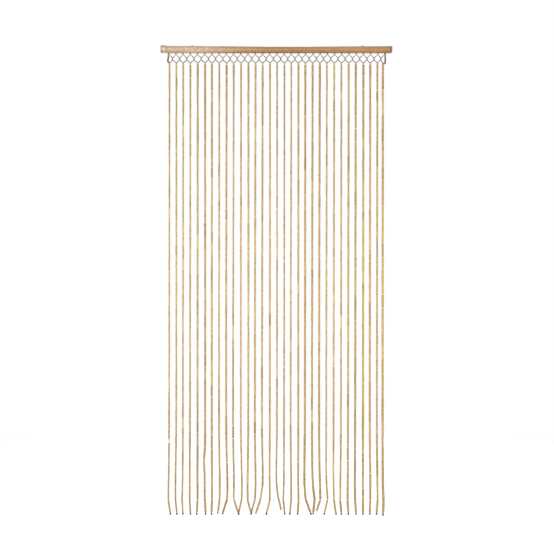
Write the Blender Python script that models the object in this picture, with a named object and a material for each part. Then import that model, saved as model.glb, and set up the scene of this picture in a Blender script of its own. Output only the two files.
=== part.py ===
"""Bamboo door curtain: a split bamboo rail, a knotted twine net under it, and strings of slim bamboo tubes.

Units are metres and +Z is up. X runs along the rail and the front faces -Y. The origin is the middle of the
rail's flat back, which lies against the wall. The tables are in millimetres.
"""
import math
from typing import NamedTuple

import bmesh
import bpy
from mathutils import Matrix, Vector

MM = 0.001
GAP = 0.3 * MM  # left between two pieces that touch
WELD = 0.01 * MM  # points this close become one where a curve's caps meet its sides

# Rail: split bamboo, flat behind and round in front
RAIL_LIP = 4.0 * MM  # straight stretch of the section beside the flat back
RAIL_ARC_STEPS = 8
RAIL_SQUARENESS = 0.72  # 1 is a half ellipse, 0 is a box
RAIL_UNDERSIDE = -14.0 * MM

# Holes in the rail's underside, each with two twines in it
HOLE_COUNT = 31
FIRST_HOLE = -455.5 * MM
HOLE_PITCH = 30.45 * MM
HOLE_WIDTH = 8.4 * MM
HOLE_THICKNESS = 4.8 * MM
HOLE_DEPTH = 9.0 * MM
CURTAIN_PLANE = -9.0 * MM  # where net and strings hang, in front of the wall

# Net: from each hole the pair of twines parts, crosses its neighbours and meets at a knot
PAIR_WIDTH = 7.6 * MM
PAIR_THICKNESS = 3.9 * MM
PAIR_END = -21.5 * MM
TWINE_RADIUS = 1.95 * MM
TWINE_SPREAD = 1.6 * MM  # half the distance between the two twines of a pair
TWINE_STAGGER = 0.35 * MM  # one twine of a crossing lies this far before the plane, the other behind it
TWINE_TURN = math.radians(20)  # turns the twines' ridges apart where they cross
PART_HEIGHT = -20.0 * MM
CROSSING_HEIGHT = -37.8 * MM
CROSSING_LENGTH = 4.0 * MM  # the two twines run side by side for this length
KNOT_HEIGHT = -55.0 * MM
KNOT_RADIUS = 3.6 * MM
LEFT_EDGE_BULGE = -460.0 * MM
RIGHT_EDGE_LINE = 459.5 * MM

# Strings: heights at which the table below gives a string's sideways place
TUBES_START = -59.0 * MM
LOW_HEIGHT = -1604.0 * MM
KNEE_HEIGHT = -1824.0 * MM
SHIN_HEIGHT = -1900.0 * MM
FOOT_HEIGHT = -1956.0 * MM
UPPER_SPANS = 5
LOWER_SPANS = 9
STRING_RADIUS = 1.3 * MM
SWAY = 1.2 * MM  # how far the strings hang before or behind their plane

# Hanger plates, let into the rail's back
EYE_BELOW_RAIL_TOP = 1.6 * MM
PLATE_HEAD_RADIUS = 6.2 * MM
PLATE_EYE_RADIUS = 3.6 * MM
PLATE_WIDTH = 8.0 * MM
PLATE_TAIL = 21.0 * MM  # from the eye's centre to the plate's lower end
PLATE_THICKNESS = 1.5 * MM
ARC_STEPS = 16
NAIL_RECESS_RADIUS = 4.8 * MM
NAIL_RECESS_DEPTH = 5.6 * MM

# A rod's curve is drawn lying along X and then stood up, which keeps its four ridges to the front, back and sides
STAND_UP = Matrix(((0, 1, 0), (0, 0, -1), (-1, 0, 0)))


class RailSection(NamedTuple):
    """One section of the rail in millimetres: its place, its lowest and highest point and its depth."""

    x: float
    low: float
    high: float
    depth: float


class String(NamedTuple):
    """One string in millimetres. The offsets are from `hang`, and `fore` is how far its foot comes forward."""

    hang: float
    tube: float
    low: float
    knee: float
    shin: float
    foot: float
    fore: float
    rise: float
    knot: float


class Hanger(NamedTuple):
    """One hanger plate: its name, its place along the rail and the rail's top there, in millimetres."""

    name: str
    x: float
    rail_top: float


RAIL_SECTIONS = (
    RailSection(-489.0, -9.0, 16.5, 13.0),
    RailSection(-487.0, -12.0, 19.4, 16.5),
    RailSection(-483.0, -12.6, 20.2, 18.2),
    RailSection(-477.0, -12.0, 19.2, 17.4),
    RailSection(-471.0, -12.6, 20.1, 18.3),
    RailSection(-466.0, -12.6, 19.6, 18.2),
    RailSection(-464.5, -11.0, 15.2, 16.0),
    RailSection(-462.5, -13.6, 16.4, 17.6),
    RailSection(-458.0, -14.0, 16.8, 18.0),
    RailSection(-320.0, -14.0, 16.6, 18.0),
    RailSection(-260.0, -14.0, 15.4, 17.8),
    RailSection(-180.0, -14.0, 15.1, 17.6),
    RailSection(-80.0, -14.0, 14.2, 17.2),
    RailSection(-40.0, -14.0, 13.4, 17.0),
    RailSection(130.0, -14.0, 13.4, 17.0),
    RailSection(200.0, -14.0, 14.3, 17.2),
    RailSection(300.0, -14.0, 15.2, 17.6),
    RailSection(440.0, -14.0, 15.8, 18.0),
    RailSection(474.0, -14.0, 16.3, 18.0),
    RailSection(483.0, -13.5, 16.4, 17.6),
    RailSection(487.0, -11.5, 16.0, 16.6),
    RailSection(489.0, -7.0, 14.4, 13.6),
)

STRINGS = (
    String(-451, 5.9, -2, -4, -5, 3, 0, 0, 4.0),
    String(-422, 5.8, -1, -4, -4, 2, 1, 0, 4.0),
    String(-393, 6.0, -2, -3, -5, -2, -1, 0, 4.0),
    String(-363, 6.0, -2, -3, -3, 0, 1, 0, 4.0),
    String(-332, 6.7, -1, -1, -1, -4, 0, 0, 4.0),
    String(-301, 6.9, 0, -2, -1, 2, -1, 0, 4.0),
    String(-272, 6.7, -1, 0, 0, -2, 1, 0, 4.0),
    String(-241, 6.0, -1, 2, 1, -7, 0, 4, 3.5),
    String(-210, 6.5, -2, 3, 1, -17, 0, 2, 3.8),
    String(-180, 5.9, -3, 1, 1, 20, 5, 0, 4.0),
    String(-149, 5.8, -1, 3, 2, -11, -4, 0, 4.0),
    String(-118, 6.6, -1, -4, -3, 11, 5, 1, 4.0),
    String(-88, 6.4, -3, 0, -3, -19, -4, 6, 3.2),
    String(-58, 6.5, -3, 0, -10, -29, 1, 3, 3.2),
    String(-27, 6.1, -1, -2, -1, -15, 0, 0, 4.0),
    String(3, 5.7, -1, -3, 6, 21, 4, 15, 0),
    String(34, 5.5, -2, -3, -5, 1, -3, 0, 4.0),
    String(63, 5.7, -3, -1, -1, -6, 0, 0, 4.0),
    String(93, 6.8, -1, -1, 0, -3, 1, 0, 4.0),
    String(122, 7.1, -2, -4, 2, 23, 3, 0, 4.0),
    String(153, 6.9, -3, 0, 8, 2, -3, 1, 3.4),
    String(183, 7.0, -3, 0, 2, -18, 3, 11, 0),
    String(213, 5.9, -3, -2, 3, -11, 0, 0, 4.0),
    String(244, 6.1, -3, -3, -1, 7, -1, 0, 4.0),
    String(274, 6.1, -2, -4, -5, 0, 1, 0, 4.0),
    String(305, 6.8, -3, -4, -5, -2, 0, 0, 4.0),
    String(335, 7.2, -3, -4, -3, 1, -1, 0, 4.0),
    String(367, 7.3, -2, -2, -2, -2, 1, 0, 4.0),
    String(396, 7.2, -2, 0, 0, -2, 0, 0, 4.0),
    String(426, 6.5, -2, 0, 1, -3, -1, 0, 4.0),
    String(449, 8.0, -1, 0, 3, 1, 1, -4, 4.2),
)

HANGERS = (
    Hanger("hanger_left", -356.5, 16.65),
    Hanger("hanger_right", 363.0, 15.5),
)


def clear_scene():
    """Removes every object of the open file."""
    for obj in list(bpy.data.objects):
        bpy.data.objects.remove(obj, do_unlink=True)


def make_collection(name, is_guide=False):
    """A collection in the scene. A guide's objects are cutters or shapes that get fused."""
    collection = bpy.data.collections.new(name)
    bpy.context.scene.collection.children.link(collection)
    collection.hide_render = is_guide
    return collection


def make_material(name, colour, roughness, metallic=0.0):
    """A Principled material of one colour."""
    material = bpy.data.materials.new(name)
    material.use_nodes = True
    shader = material.node_tree.nodes["Principled BSDF"]
    shader.inputs["Base Color"].default_value = (*colour, 1.0)
    shader.inputs["Roughness"].default_value = roughness
    shader.inputs["Metallic"].default_value = metallic
    return material


def mesh_object(name, bm, collection):
    """Turns a bmesh into an object in the collection."""
    bmesh.ops.recalc_face_normals(bm, faces=bm.faces)
    mesh = bpy.data.meshes.new(name)
    bm.to_mesh(mesh)
    bm.free()
    obj = bpy.data.objects.new(name, mesh)
    collection.objects.link(obj)
    return obj


def as_guide(obj):
    """Marks an object as one that only cuts or is fused into another."""
    obj.hide_render = True
    obj.display_type = "WIRE"
    return obj


def box(name, centre, size, collection):
    """A box guide of the given centre and size."""
    bm = bmesh.new()
    bmesh.ops.create_cube(bm, size=1.0)
    bmesh.ops.scale(bm, vec=size, verts=bm.verts)
    bmesh.ops.translate(bm, vec=centre, verts=bm.verts)
    return as_guide(mesh_object(name, bm, collection))


def rod(name, path, collection, turn=0.0):
    """A four-sided rod guide along a path of (point, radius) pairs, made from a bevelled curve turned on itself."""
    curve = bpy.data.curves.new(name, "CURVE")
    curve.dimensions = "3D"
    curve.twist_mode = "Z_UP"
    curve.bevel_depth = 1.0
    curve.bevel_resolution = 0
    curve.use_fill_caps = True
    spline = curve.splines.new("POLY")
    spline.points.add(len(path) - 1)
    for point, (place, radius) in zip(spline.points, path):
        point.co = (*(STAND_UP.transposed() @ place), 1.0)
        point.radius = radius
        point.tilt = turn
    drawn = bpy.data.objects.new(name + "_curve", curve)
    collection.objects.link(drawn)
    bpy.context.view_layer.update()
    graph = bpy.context.evaluated_depsgraph_get()
    mesh = bpy.data.meshes.new_from_object(drawn.evaluated_get(graph))
    bpy.data.objects.remove(drawn)
    bm = bmesh.new()
    bm.from_mesh(mesh)
    bmesh.ops.remove_doubles(bm, verts=bm.verts, dist=WELD)
    bmesh.ops.transform(bm, matrix=STAND_UP.to_4x4(), verts=bm.verts)
    return as_guide(mesh_object(name, bm, collection))


def combine(obj, name, operation, guides):
    """Cuts all the guides of a collection from the object, or fuses them with it."""
    modifier = obj.modifiers.new(name, "BOOLEAN")
    modifier.operation = operation
    modifier.solver = "EXACT"
    modifier.operand_type = "COLLECTION"
    modifier.collection = guides


def rounded(value):
    """Sine or cosine of a rail section's arc, drawn out towards a box."""
    return math.copysign(abs(value) ** RAIL_SQUARENESS, value)


def rail_outline(section):
    """The points of one rail section in metres, from the back's lower edge round the front to its upper edge."""
    middle = (section.low + section.high) / 2 * MM
    half = (section.high - section.low) / 2 * MM
    reach = section.depth * MM - RAIL_LIP
    points = [Vector((section.x * MM, 0.0, section.low * MM))]
    for step in range(RAIL_ARC_STEPS + 1):
        angle = math.pi * (step / RAIL_ARC_STEPS - 0.5)
        forward = RAIL_LIP + reach * rounded(math.cos(angle))
        points.append(Vector((section.x * MM, -forward, middle + half * rounded(math.sin(angle)))))
    points.append(Vector((section.x * MM, 0.0, section.high * MM)))
    return points


def hole_x(index):
    """Where a hole of the rail's underside lies along X. The first hole is 0."""
    return FIRST_HOLE + HOLE_PITCH * index


def build_rail(parts, guides):
    """The split bamboo rail, a loft through its sections with the twines' holes and the hangers' pockets cut in."""
    bm = bmesh.new()
    rings = [[bm.verts.new(point) for point in rail_outline(section)] for section in RAIL_SECTIONS]
    for ring, following in zip(rings, rings[1:]):
        for side, vert in enumerate(ring):
            after = (side + 1) % len(ring)
            bm.faces.new((vert, ring[after], following[after], following[side]))
    bm.faces.new(rings[0])
    bm.faces.new(rings[-1])
    rail = mesh_object("rail", bm, parts)
    for index in range(HOLE_COUNT):
        size = Vector((HOLE_WIDTH, HOLE_THICKNESS, 2 * HOLE_DEPTH))
        box(f"twine_hole_{index + 1:02d}", Vector((hole_x(index), CURTAIN_PLANE, RAIL_UNDERSIDE)), size, guides)
    for hanger in HANGERS:
        plate_pocket(hanger, guides)
        nail_recess(hanger, guides)
    combine(rail, "Holes and pockets", "DIFFERENCE", guides)
    return rail


def eye_height(hanger):
    """The height of a hanger's eye."""
    return hanger.rail_top * MM - EYE_BELOW_RAIL_TOP


def plate_outline(grow):
    """A hanger plate's outline round its eye: a round head with a straight tail, made larger by `grow`."""
    head = PLATE_HEAD_RADIUS + grow
    half = PLATE_WIDTH / 2 + grow
    neck = math.asin(half / head)
    turn = 2 * (math.pi - neck)
    points = []
    for step in range(ARC_STEPS + 1):
        angle = -math.pi / 2 + neck + turn * step / ARC_STEPS
        points.append((head * math.cos(angle), head * math.sin(angle)))
    points.append((-half, -PLATE_TAIL - grow))
    points.append((half, -PLATE_TAIL - grow))
    return points


def circle_outline(radius):
    """A circle's points, drawn the other way round from an outline so that it is a hole in it."""
    turns = [2 * math.pi * step / ARC_STEPS for step in range(ARC_STEPS)]
    return [(radius * math.cos(turn), -radius * math.sin(turn)) for turn in turns]


def plate_object(hanger, name, grow, collection, eye_radius=None):
    """A flat plate in the rail's back, drawn as a filled curve."""
    curve = bpy.data.curves.new(name, "CURVE")
    curve.dimensions = "2D"
    curve.fill_mode = "BOTH"
    curve.extrude = PLATE_THICKNESS / 2
    outlines = [plate_outline(grow)]
    if eye_radius:
        outlines.append(circle_outline(eye_radius))
    for outline in outlines:
        spline = curve.splines.new("POLY")
        spline.points.add(len(outline) - 1)
        for point, (across, up) in zip(spline.points, outline):
            point.co = (across, up, 0.0, 1.0)
        spline.use_cyclic_u = True
    plate = bpy.data.objects.new(name, curve)
    plate.rotation_euler.x = math.pi / 2
    plate.location = (hanger.x * MM, -PLATE_THICKNESS / 2, eye_height(hanger))
    collection.objects.link(plate)
    return plate


def plate_pocket(hanger, collection):
    """The pocket in the rail's back for a hanger plate: the plate's shape made larger, as a mesh that can cut."""
    pocket = plate_object(hanger, hanger.name + "_pocket", GAP, collection)
    pocket.data.extrude = PLATE_THICKNESS + GAP
    pocket.location.y = 0.0
    bpy.context.view_layer.update()
    graph = bpy.context.evaluated_depsgraph_get()
    mesh = bpy.data.meshes.new_from_object(pocket.evaluated_get(graph))
    bm = bmesh.new()
    bm.from_mesh(mesh)
    bmesh.ops.remove_doubles(bm, verts=bm.verts, dist=WELD)
    cutter = as_guide(mesh_object(pocket.name + "_cutter", bm, collection))
    cutter.matrix_world = pocket.matrix_world
    bpy.data.objects.remove(pocket)


def nail_recess(hanger, collection):
    """The round recess behind a hanger's eye, where the nail's head goes."""
    bm = bmesh.new()
    bmesh.ops.create_cone(
        bm,
        cap_ends=True,
        segments=ARC_STEPS,
        radius1=NAIL_RECESS_RADIUS,
        radius2=NAIL_RECESS_RADIUS,
        depth=2 * NAIL_RECESS_DEPTH,
    )
    recess = as_guide(mesh_object(hanger.name + "_recess", bm, collection))
    recess.rotation_euler.x = math.pi / 2
    recess.location = (hanger.x * MM, 0.0, eye_height(hanger))


def crossing(index):
    """The point where the twines of two neighbouring holes cross. The first crossing is 0."""
    between_holes = (hole_x(index) + hole_x(index + 1)) / 2
    between_strings = (STRINGS[index].hang + STRINGS[index + 1].hang) / 2 * MM
    return Vector(((between_holes + between_strings) / 2, CURTAIN_PLANE, CROSSING_HEIGHT))


def knot(index):
    """The middle of the knot at the head of a string."""
    return Vector((STRINGS[index].hang * MM, CURTAIN_PLANE, KNOT_HEIGHT))


def inner_twine(index, side, guides):
    """A twine from a hole across its neighbour's twine to the neighbouring string's knot. Side is 1 to the right."""
    middle = crossing(index if side > 0 else index - 1)
    half_run = Vector((0.0, 0.0, CROSSING_LENGTH / 2))
    lean = Vector((-side * TWINE_SPREAD / 2, side * TWINE_STAGGER, 0.0))
    start = Vector((hole_x(index) + side * TWINE_SPREAD, CURTAIN_PLANE + side * TWINE_STAGGER, PART_HEIGHT))
    end = knot(index + side) + Vector((-side * TWINE_SPREAD / 2, side * TWINE_STAGGER, 0.0))
    path = [start, middle + half_run + lean, middle - half_run - lean, end]
    label = "right" if side > 0 else "left"
    twine = [(point, TWINE_RADIUS) for point in path]
    rod(f"twine_{index + 1:02d}_{label}", twine, guides, turn=side * TWINE_TURN)


def edge_twines(guides):
    """The net's two edges: twines that run down beside the first and the last string."""
    forward = CURTAIN_PLANE
    left = [
        Vector((hole_x(0) - TWINE_SPREAD, forward, PART_HEIGHT)),
        Vector((LEFT_EDGE_BULGE, forward, CROSSING_HEIGHT - 4 * MM)),
        Vector((LEFT_EDGE_BULGE + 1 * MM, forward, KNOT_HEIGHT + 4 * MM)),
        knot(0) + Vector((-1 * MM, 0.0, -1 * MM)),
    ]
    right = [
        Vector((hole_x(HOLE_COUNT - 1) + TWINE_SPREAD, forward, PART_HEIGHT)),
        Vector((RIGHT_EDGE_LINE, forward, CROSSING_HEIGHT)),
        Vector((RIGHT_EDGE_LINE, forward, KNOT_HEIGHT + 1 * MM)),
        knot(HOLE_COUNT - 1) + Vector((1 * MM, 0.0, -0.5 * MM)),
    ]
    for label, path in (("left", left), ("right", right)):
        rod("edge_twine_" + label, [(point, TWINE_RADIUS) for point in path], guides, turn=TWINE_TURN / 2)


def eased(heights, values, height):
    """A smooth curve through the values at the heights, read at one height. The heights run down."""
    last = len(heights) - 1
    span = max(i for i in range(last) if heights[i] >= height or i == 0)
    slopes = []
    for i in (span, span + 1):
        before = max(i - 1, 0)
        after = min(i + 1, last)
        slopes.append((values[after] - values[before]) / (heights[after] - heights[before]))
    length = heights[span + 1] - heights[span]
    t = (height - heights[span]) / length
    return (
        (2 * t**3 - 3 * t**2 + 1) * values[span]
        + (t**3 - 2 * t**2 + t) * length * slopes[0]
        + (3 * t**2 - 2 * t**3) * values[span + 1]
        + (t**3 - t**2) * length * slopes[1]
    )


def string_point(index, height):
    """Where a string's middle line is at a height."""
    string = STRINGS[index]
    heights = (KNOT_HEIGHT, LOW_HEIGHT, KNEE_HEIGHT, SHIN_HEIGHT, FOOT_HEIGHT)
    offsets = (0.0, string.low, string.knee, string.shin, string.foot)
    across = string.hang + eased(heights, offsets, height)
    fall = (height - KNOT_HEIGHT) / (FOOT_HEIGHT - KNOT_HEIGHT)
    swing = max(0.0, (height - LOW_HEIGHT) / (FOOT_HEIGHT - LOW_HEIGHT))
    sway = SWAY * math.sin(2.3 * index) * math.sin(math.pi * fall)
    return Vector((across * MM, CURTAIN_PLANE + sway - string.fore * MM * swing**2, height))


def spaced(first, last, spans):
    """Evenly spaced values from the first to the last."""
    return [first + (last - first) * step / spans for step in range(spans + 1)]


def string_path(index):
    """A string from its head knot down its bamboo to its foot knot, as (point, radius) pairs."""
    string = STRINGS[index]
    bamboo = string.tube / 2 * MM
    foot = FOOT_HEIGHT + string.rise * MM
    foot_knot = string.knot * MM
    bamboo_end = foot + 1.5 * foot_knot
    heights = [(KNOT_HEIGHT + 0.8 * KNOT_RADIUS, 0.5 * KNOT_RADIUS)]
    heights += [(KNOT_HEIGHT, KNOT_RADIUS), (KNOT_HEIGHT - 0.8 * KNOT_RADIUS, STRING_RADIUS)]
    heights += [(height, bamboo) for height in spaced(TUBES_START, LOW_HEIGHT, UPPER_SPANS)]
    heights += [(height, bamboo) for height in spaced(LOW_HEIGHT, bamboo_end, LOWER_SPANS)[1:]]
    if string.knot:
        heights += [(foot + foot_knot, STRING_RADIUS), (foot, foot_knot), (foot - foot_knot, 0.4 * foot_knot)]
    return [(string_point(index, height), radius) for height, radius in heights]


def build_strings(parts, guides):
    """The net with its strings, fused into one body."""
    pair_size = Vector((PAIR_WIDTH, PAIR_THICKNESS, HOLE_DEPTH - 2 * GAP + RAIL_UNDERSIDE - PAIR_END))
    for index in range(HOLE_COUNT):
        pair_middle = PAIR_END + pair_size.z / 2
        box(f"twine_pair_{index + 1:02d}", Vector((hole_x(index), CURTAIN_PLANE, pair_middle)), pair_size, guides)
        if index > 0:
            inner_twine(index, -1, guides)
        if index < HOLE_COUNT - 1:
            inner_twine(index, 1, guides)
        if index > 0:
            rod(f"string_{index + 1:02d}", string_path(index), guides)
    edge_twines(guides)
    strings = rod("strings", string_path(0), parts)
    strings.hide_render = False
    strings.display_type = "TEXTURED"
    combine(strings, "Net and strings", "UNION", guides)
    return strings


def main():
    """Builds the curtain."""
    clear_scene()
    parts = make_collection("Bamboo door curtain")
    rail_guides = make_collection("Rail cutters", is_guide=True)
    string_guides = make_collection("Net and strings to fuse", is_guide=True)
    bamboo = make_material("Rail bamboo", (0.52, 0.33, 0.18), 0.5)
    tubes = make_material("Bamboo tubes", (0.48, 0.35, 0.20), 0.5)
    steel = make_material("Dull steel", (0.38, 0.34, 0.30), 0.45, metallic=1.0)
    build_rail(parts, rail_guides).data.materials.append(bamboo)
    for hanger in HANGERS:
        plate_object(hanger, hanger.name, 0.0, parts, PLATE_EYE_RADIUS).data.materials.append(steel)
    build_strings(parts, string_guides).data.materials.append(tubes)


main()
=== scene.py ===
"""Looks of a bamboo door curtain: split bamboo rail, knotted net and strings of bamboo tubes.

Lengths are metres, but millimetres in tables of rows. +Z is up, X runs along the rail and the front
faces -Y. The origin is the middle of the rail's flat back.
"""
import logging
import math
import random
from dataclasses import dataclass, field
from enum import Enum
from typing import Callable, ClassVar, NamedTuple, Sequence

import bmesh
import bpy
import numpy as np
from mathutils import Matrix, Vector


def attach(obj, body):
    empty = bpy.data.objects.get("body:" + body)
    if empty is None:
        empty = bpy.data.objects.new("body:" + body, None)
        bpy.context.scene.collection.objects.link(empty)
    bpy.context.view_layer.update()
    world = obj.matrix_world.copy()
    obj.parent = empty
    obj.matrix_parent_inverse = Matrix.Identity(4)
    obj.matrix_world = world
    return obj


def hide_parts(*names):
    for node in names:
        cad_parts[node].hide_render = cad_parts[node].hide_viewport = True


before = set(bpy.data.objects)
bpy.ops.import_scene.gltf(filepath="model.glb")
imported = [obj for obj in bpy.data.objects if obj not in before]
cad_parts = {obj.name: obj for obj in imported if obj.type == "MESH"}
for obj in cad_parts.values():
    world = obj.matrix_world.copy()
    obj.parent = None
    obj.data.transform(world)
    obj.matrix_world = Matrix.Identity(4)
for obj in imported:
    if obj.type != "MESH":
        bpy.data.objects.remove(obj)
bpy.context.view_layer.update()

log = logging.getLogger("bamboo_curtain")

MM = 0.001
BODY = "root"

Colour = tuple[float, float, float, float]
Scale = tuple[float, float, float]


def mm(*lengths: float) -> tuple[float, ...]:
    """Lengths given in millimetres."""
    return tuple(length * MM for length in lengths)


class Slot(Enum):
    """The record's material slots."""

    RAIL = "rail_bamboo"
    TUBES = "tube_bamboo"
    TWINE = "twine"
    STEEL = "dull_steel"


class Side(Enum):
    """A hanger plate's end of the rail, or the way a twine of the net leans on its way down."""

    LEFT = -1
    RIGHT = 1


class Closing(Enum):
    """How a skin drawn through rings is closed: by a face at each end, or last ring to first."""

    CAPS = "caps"
    LOOP = "loop"


class Sharp(Enum):
    """The angle in degrees past which an edge stays sharp."""

    CUT = 30.0
    RAIL = 32.0
    TUBE = 35.0
    TWINE = 60.0


class Chance(Enum):
    """What is left to chance on each string, with a seed of its own."""

    JOINTS = 100
    TUBES = 300
    HEAD_KNOT = 500
    FOOT_KNOT = 800

    def source(self, index: int) -> random.Random:
        """A string's source of chance."""
        return random.Random(self.value + index)


# Sizes shared by the rail, the net and the strings
CURTAIN_PLANE = -9.0 * MM
HOLE_COUNT = 31
FIRST_HOLE = -455.5 * MM
HOLE_PITCH = 30.45 * MM
TUBES_START = -61.0 * MM
BEND_HEIGHTS = mm(-55.0, -1604.0, -1824.0, -1900.0, -1956.0)  # of knot, low, knee, shin and foot
KNOT_HEIGHT, LOW_HEIGHT, *_, FOOT_HEIGHT = BEND_HEIGHTS


class RailSection(NamedTuple):
    """One section of the rail in millimetres: its place, its lowest and highest point and its depth."""

    x: float
    low: float
    high: float
    depth: float


class String(NamedTuple):
    """One string in millimetres: where it hangs, its tubes' thickness, how far it leans from `hang`
    at each bend, how far its foot is forward and higher than most, and its knot's size."""

    hang: float
    tube: float
    low: float
    knee: float
    shin: float
    foot: float
    fore: float
    rise: float = 0
    knot: float = 4.0


RAIL_SECTIONS = [
    RailSection(*row)
    for row in (
        (-489.0, -9.0, 16.5, 13.0),
        (-487.0, -12.0, 19.4, 16.5),
        (-483.0, -12.6, 20.2, 18.2),
        (-477.0, -12.0, 19.2, 17.4),
        (-471.0, -12.6, 20.1, 18.3),
        (-466.0, -12.6, 19.6, 18.2),
        (-464.5, -11.0, 15.2, 16.0),
        (-462.5, -13.6, 16.4, 17.6),
        (-458.0, -14.0, 16.8, 18.0),
        (-320.0, -14.0, 16.6, 18.0),
        (-260.0, -14.0, 15.4, 17.8),
        (-180.0, -14.0, 15.1, 17.6),
        (-80.0, -14.0, 14.2, 17.2),
        (-40.0, -14.0, 13.4, 17.0),
        (130.0, -14.0, 13.4, 17.0),
        (200.0, -14.0, 14.3, 17.2),
        (300.0, -14.0, 15.2, 17.6),
        (440.0, -14.0, 15.8, 18.0),
        (474.0, -14.0, 16.3, 18.0),
        (483.0, -13.5, 16.4, 17.6),
        (487.0, -11.5, 16.0, 16.6),
        (489.0, -7.0, 14.4, 13.6),
    )
]

STRINGS = [
    String(*row)
    for row in (
        (-451, 5.9, -2, -4, -5, 3, 0),
        (-422, 5.8, -1, -4, -4, 2, 1),
        (-393, 6.0, -2, -3, -5, -2, -1),
        (-363, 6.0, -2, -3, -3, 0, 1),
        (-332, 6.7, -1, -1, -1, -4, 0),
        (-301, 6.9, 0, -2, -1, 2, -1),
        (-272, 6.7, -1, 0, 0, -2, 1),
        (-241, 6.0, -1, 2, 1, -7, 0, 4, 3.5),
        (-210, 6.5, -2, 3, 1, -17, 0, 2, 3.8),
        (-180, 5.9, -3, 1, 1, 20, 5),
        (-149, 5.8, -1, 3, 2, -11, -4),
        (-118, 6.6, -1, -4, -3, 11, 5, 1),
        (-88, 6.4, -3, 0, -3, -19, -4, 6, 3.2),
        (-58, 6.5, -3, 0, -10, -29, 1, 3, 3.2),
        (-27, 6.1, -1, -2, -1, -15, 0),
        (3, 5.7, -1, -3, 6, 21, 4, 15, 0),
        (34, 5.5, -2, -3, -5, 1, -3),
        (63, 5.7, -3, -1, -1, -6, 0),
        (93, 6.8, -1, -1, 0, -3, 1),
        (122, 7.1, -2, -4, 2, 23, 3),
        (153, 6.9, -3, 0, 8, 2, -3, 1, 3.4),
        (183, 7.0, -3, 0, 2, -18, 3, 11, 0),
        (213, 5.9, -3, -2, 3, -11, 0),
        (244, 6.1, -3, -3, -1, 7, -1),
        (274, 6.1, -2, -4, -5, 0, 1),
        (305, 6.8, -3, -4, -5, -2, 0),
        (335, 7.2, -3, -4, -3, 1, -1),
        (367, 7.3, -2, -2, -2, -2, 1),
        (396, 7.2, -2, 0, 0, -2, 0),
        (426, 6.5, -2, 0, 1, -3, -1),
        (449, 8.0, -1, 0, 3, 1, 1, -4, 4.2),
    )
]

# By the string's number, counted from 0
KINKS = {5: mm(-1736.0, -4.8)}  # a kink's height and depth
BARE_SPANS = {0: mm(-1644.0, -1659.0)}  # the top and bottom of a stretch without tubes


def paint(red: int, green: int, blue: int) -> Colour:
    """A colour as a shader takes it, from its screen values.

    Args:
        red: from 0 to 255, as are green and blue.
        green: as red.
        blue: as red.

    Returns:
        The linear colour, opaque.
    """

    def linear(value: int) -> float:
        """One channel's linear value."""
        share = value / 255
        return share / 12.92 if share <= 0.04045 else ((share + 0.055) / 1.055) ** 2.4

    return linear(red), linear(green), linear(blue), 1.0


# Shader graphs


class Value:
    """An output of a node. Sums, products and the like of such outputs add their Math nodes."""

    def __init__(self, graph: "ShaderGraph", socket: bpy.types.NodeSocket) -> None:
        """Wraps a socket of a graph.

        Args:
            graph: the graph that it belongs to.
            socket: the node's output.
        """
        self.graph = graph
        self.socket = socket

    def maths(self, operation: str, *operands: "Value | float") -> "Value":
        """A Math node of this operation on the operands."""
        return self.graph.node("ShaderNodeMath", {"operation": operation}, dict(enumerate(operands)))

    def __add__(self, other: "Value | float") -> "Value":
        """The sum."""
        return self.maths("ADD", self, other)

    __radd__ = __add__

    def __sub__(self, other: "Value | float") -> "Value":
        """The difference."""
        return self.maths("SUBTRACT", self, other)

    def __rsub__(self, other: "Value | float") -> "Value":
        """The difference from the other."""
        return self.maths("SUBTRACT", other, self)

    def __mul__(self, other: "Value | float") -> "Value":
        """The product."""
        return self.maths("MULTIPLY", self, other)

    __rmul__ = __mul__

    def __truediv__(self, other: "Value | float") -> "Value":
        """The quotient."""
        return self.maths("DIVIDE", self, other)

    def __abs__(self) -> "Value":
        """The value without its sign."""
        return self.maths("ABSOLUTE", self)

    def fraction(self) -> "Value":
        """What is left over a whole number."""
        return self.maths("FRACT", self)


Coat = tuple[Value, Colour]  # how much of a coat of colour shows, and its colour
MIX_FACTOR, MIX_FIRST, MIX_SECOND, MIX_RESULT = 0, 6, 7, 2  # a Mix node's sockets for colours


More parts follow.
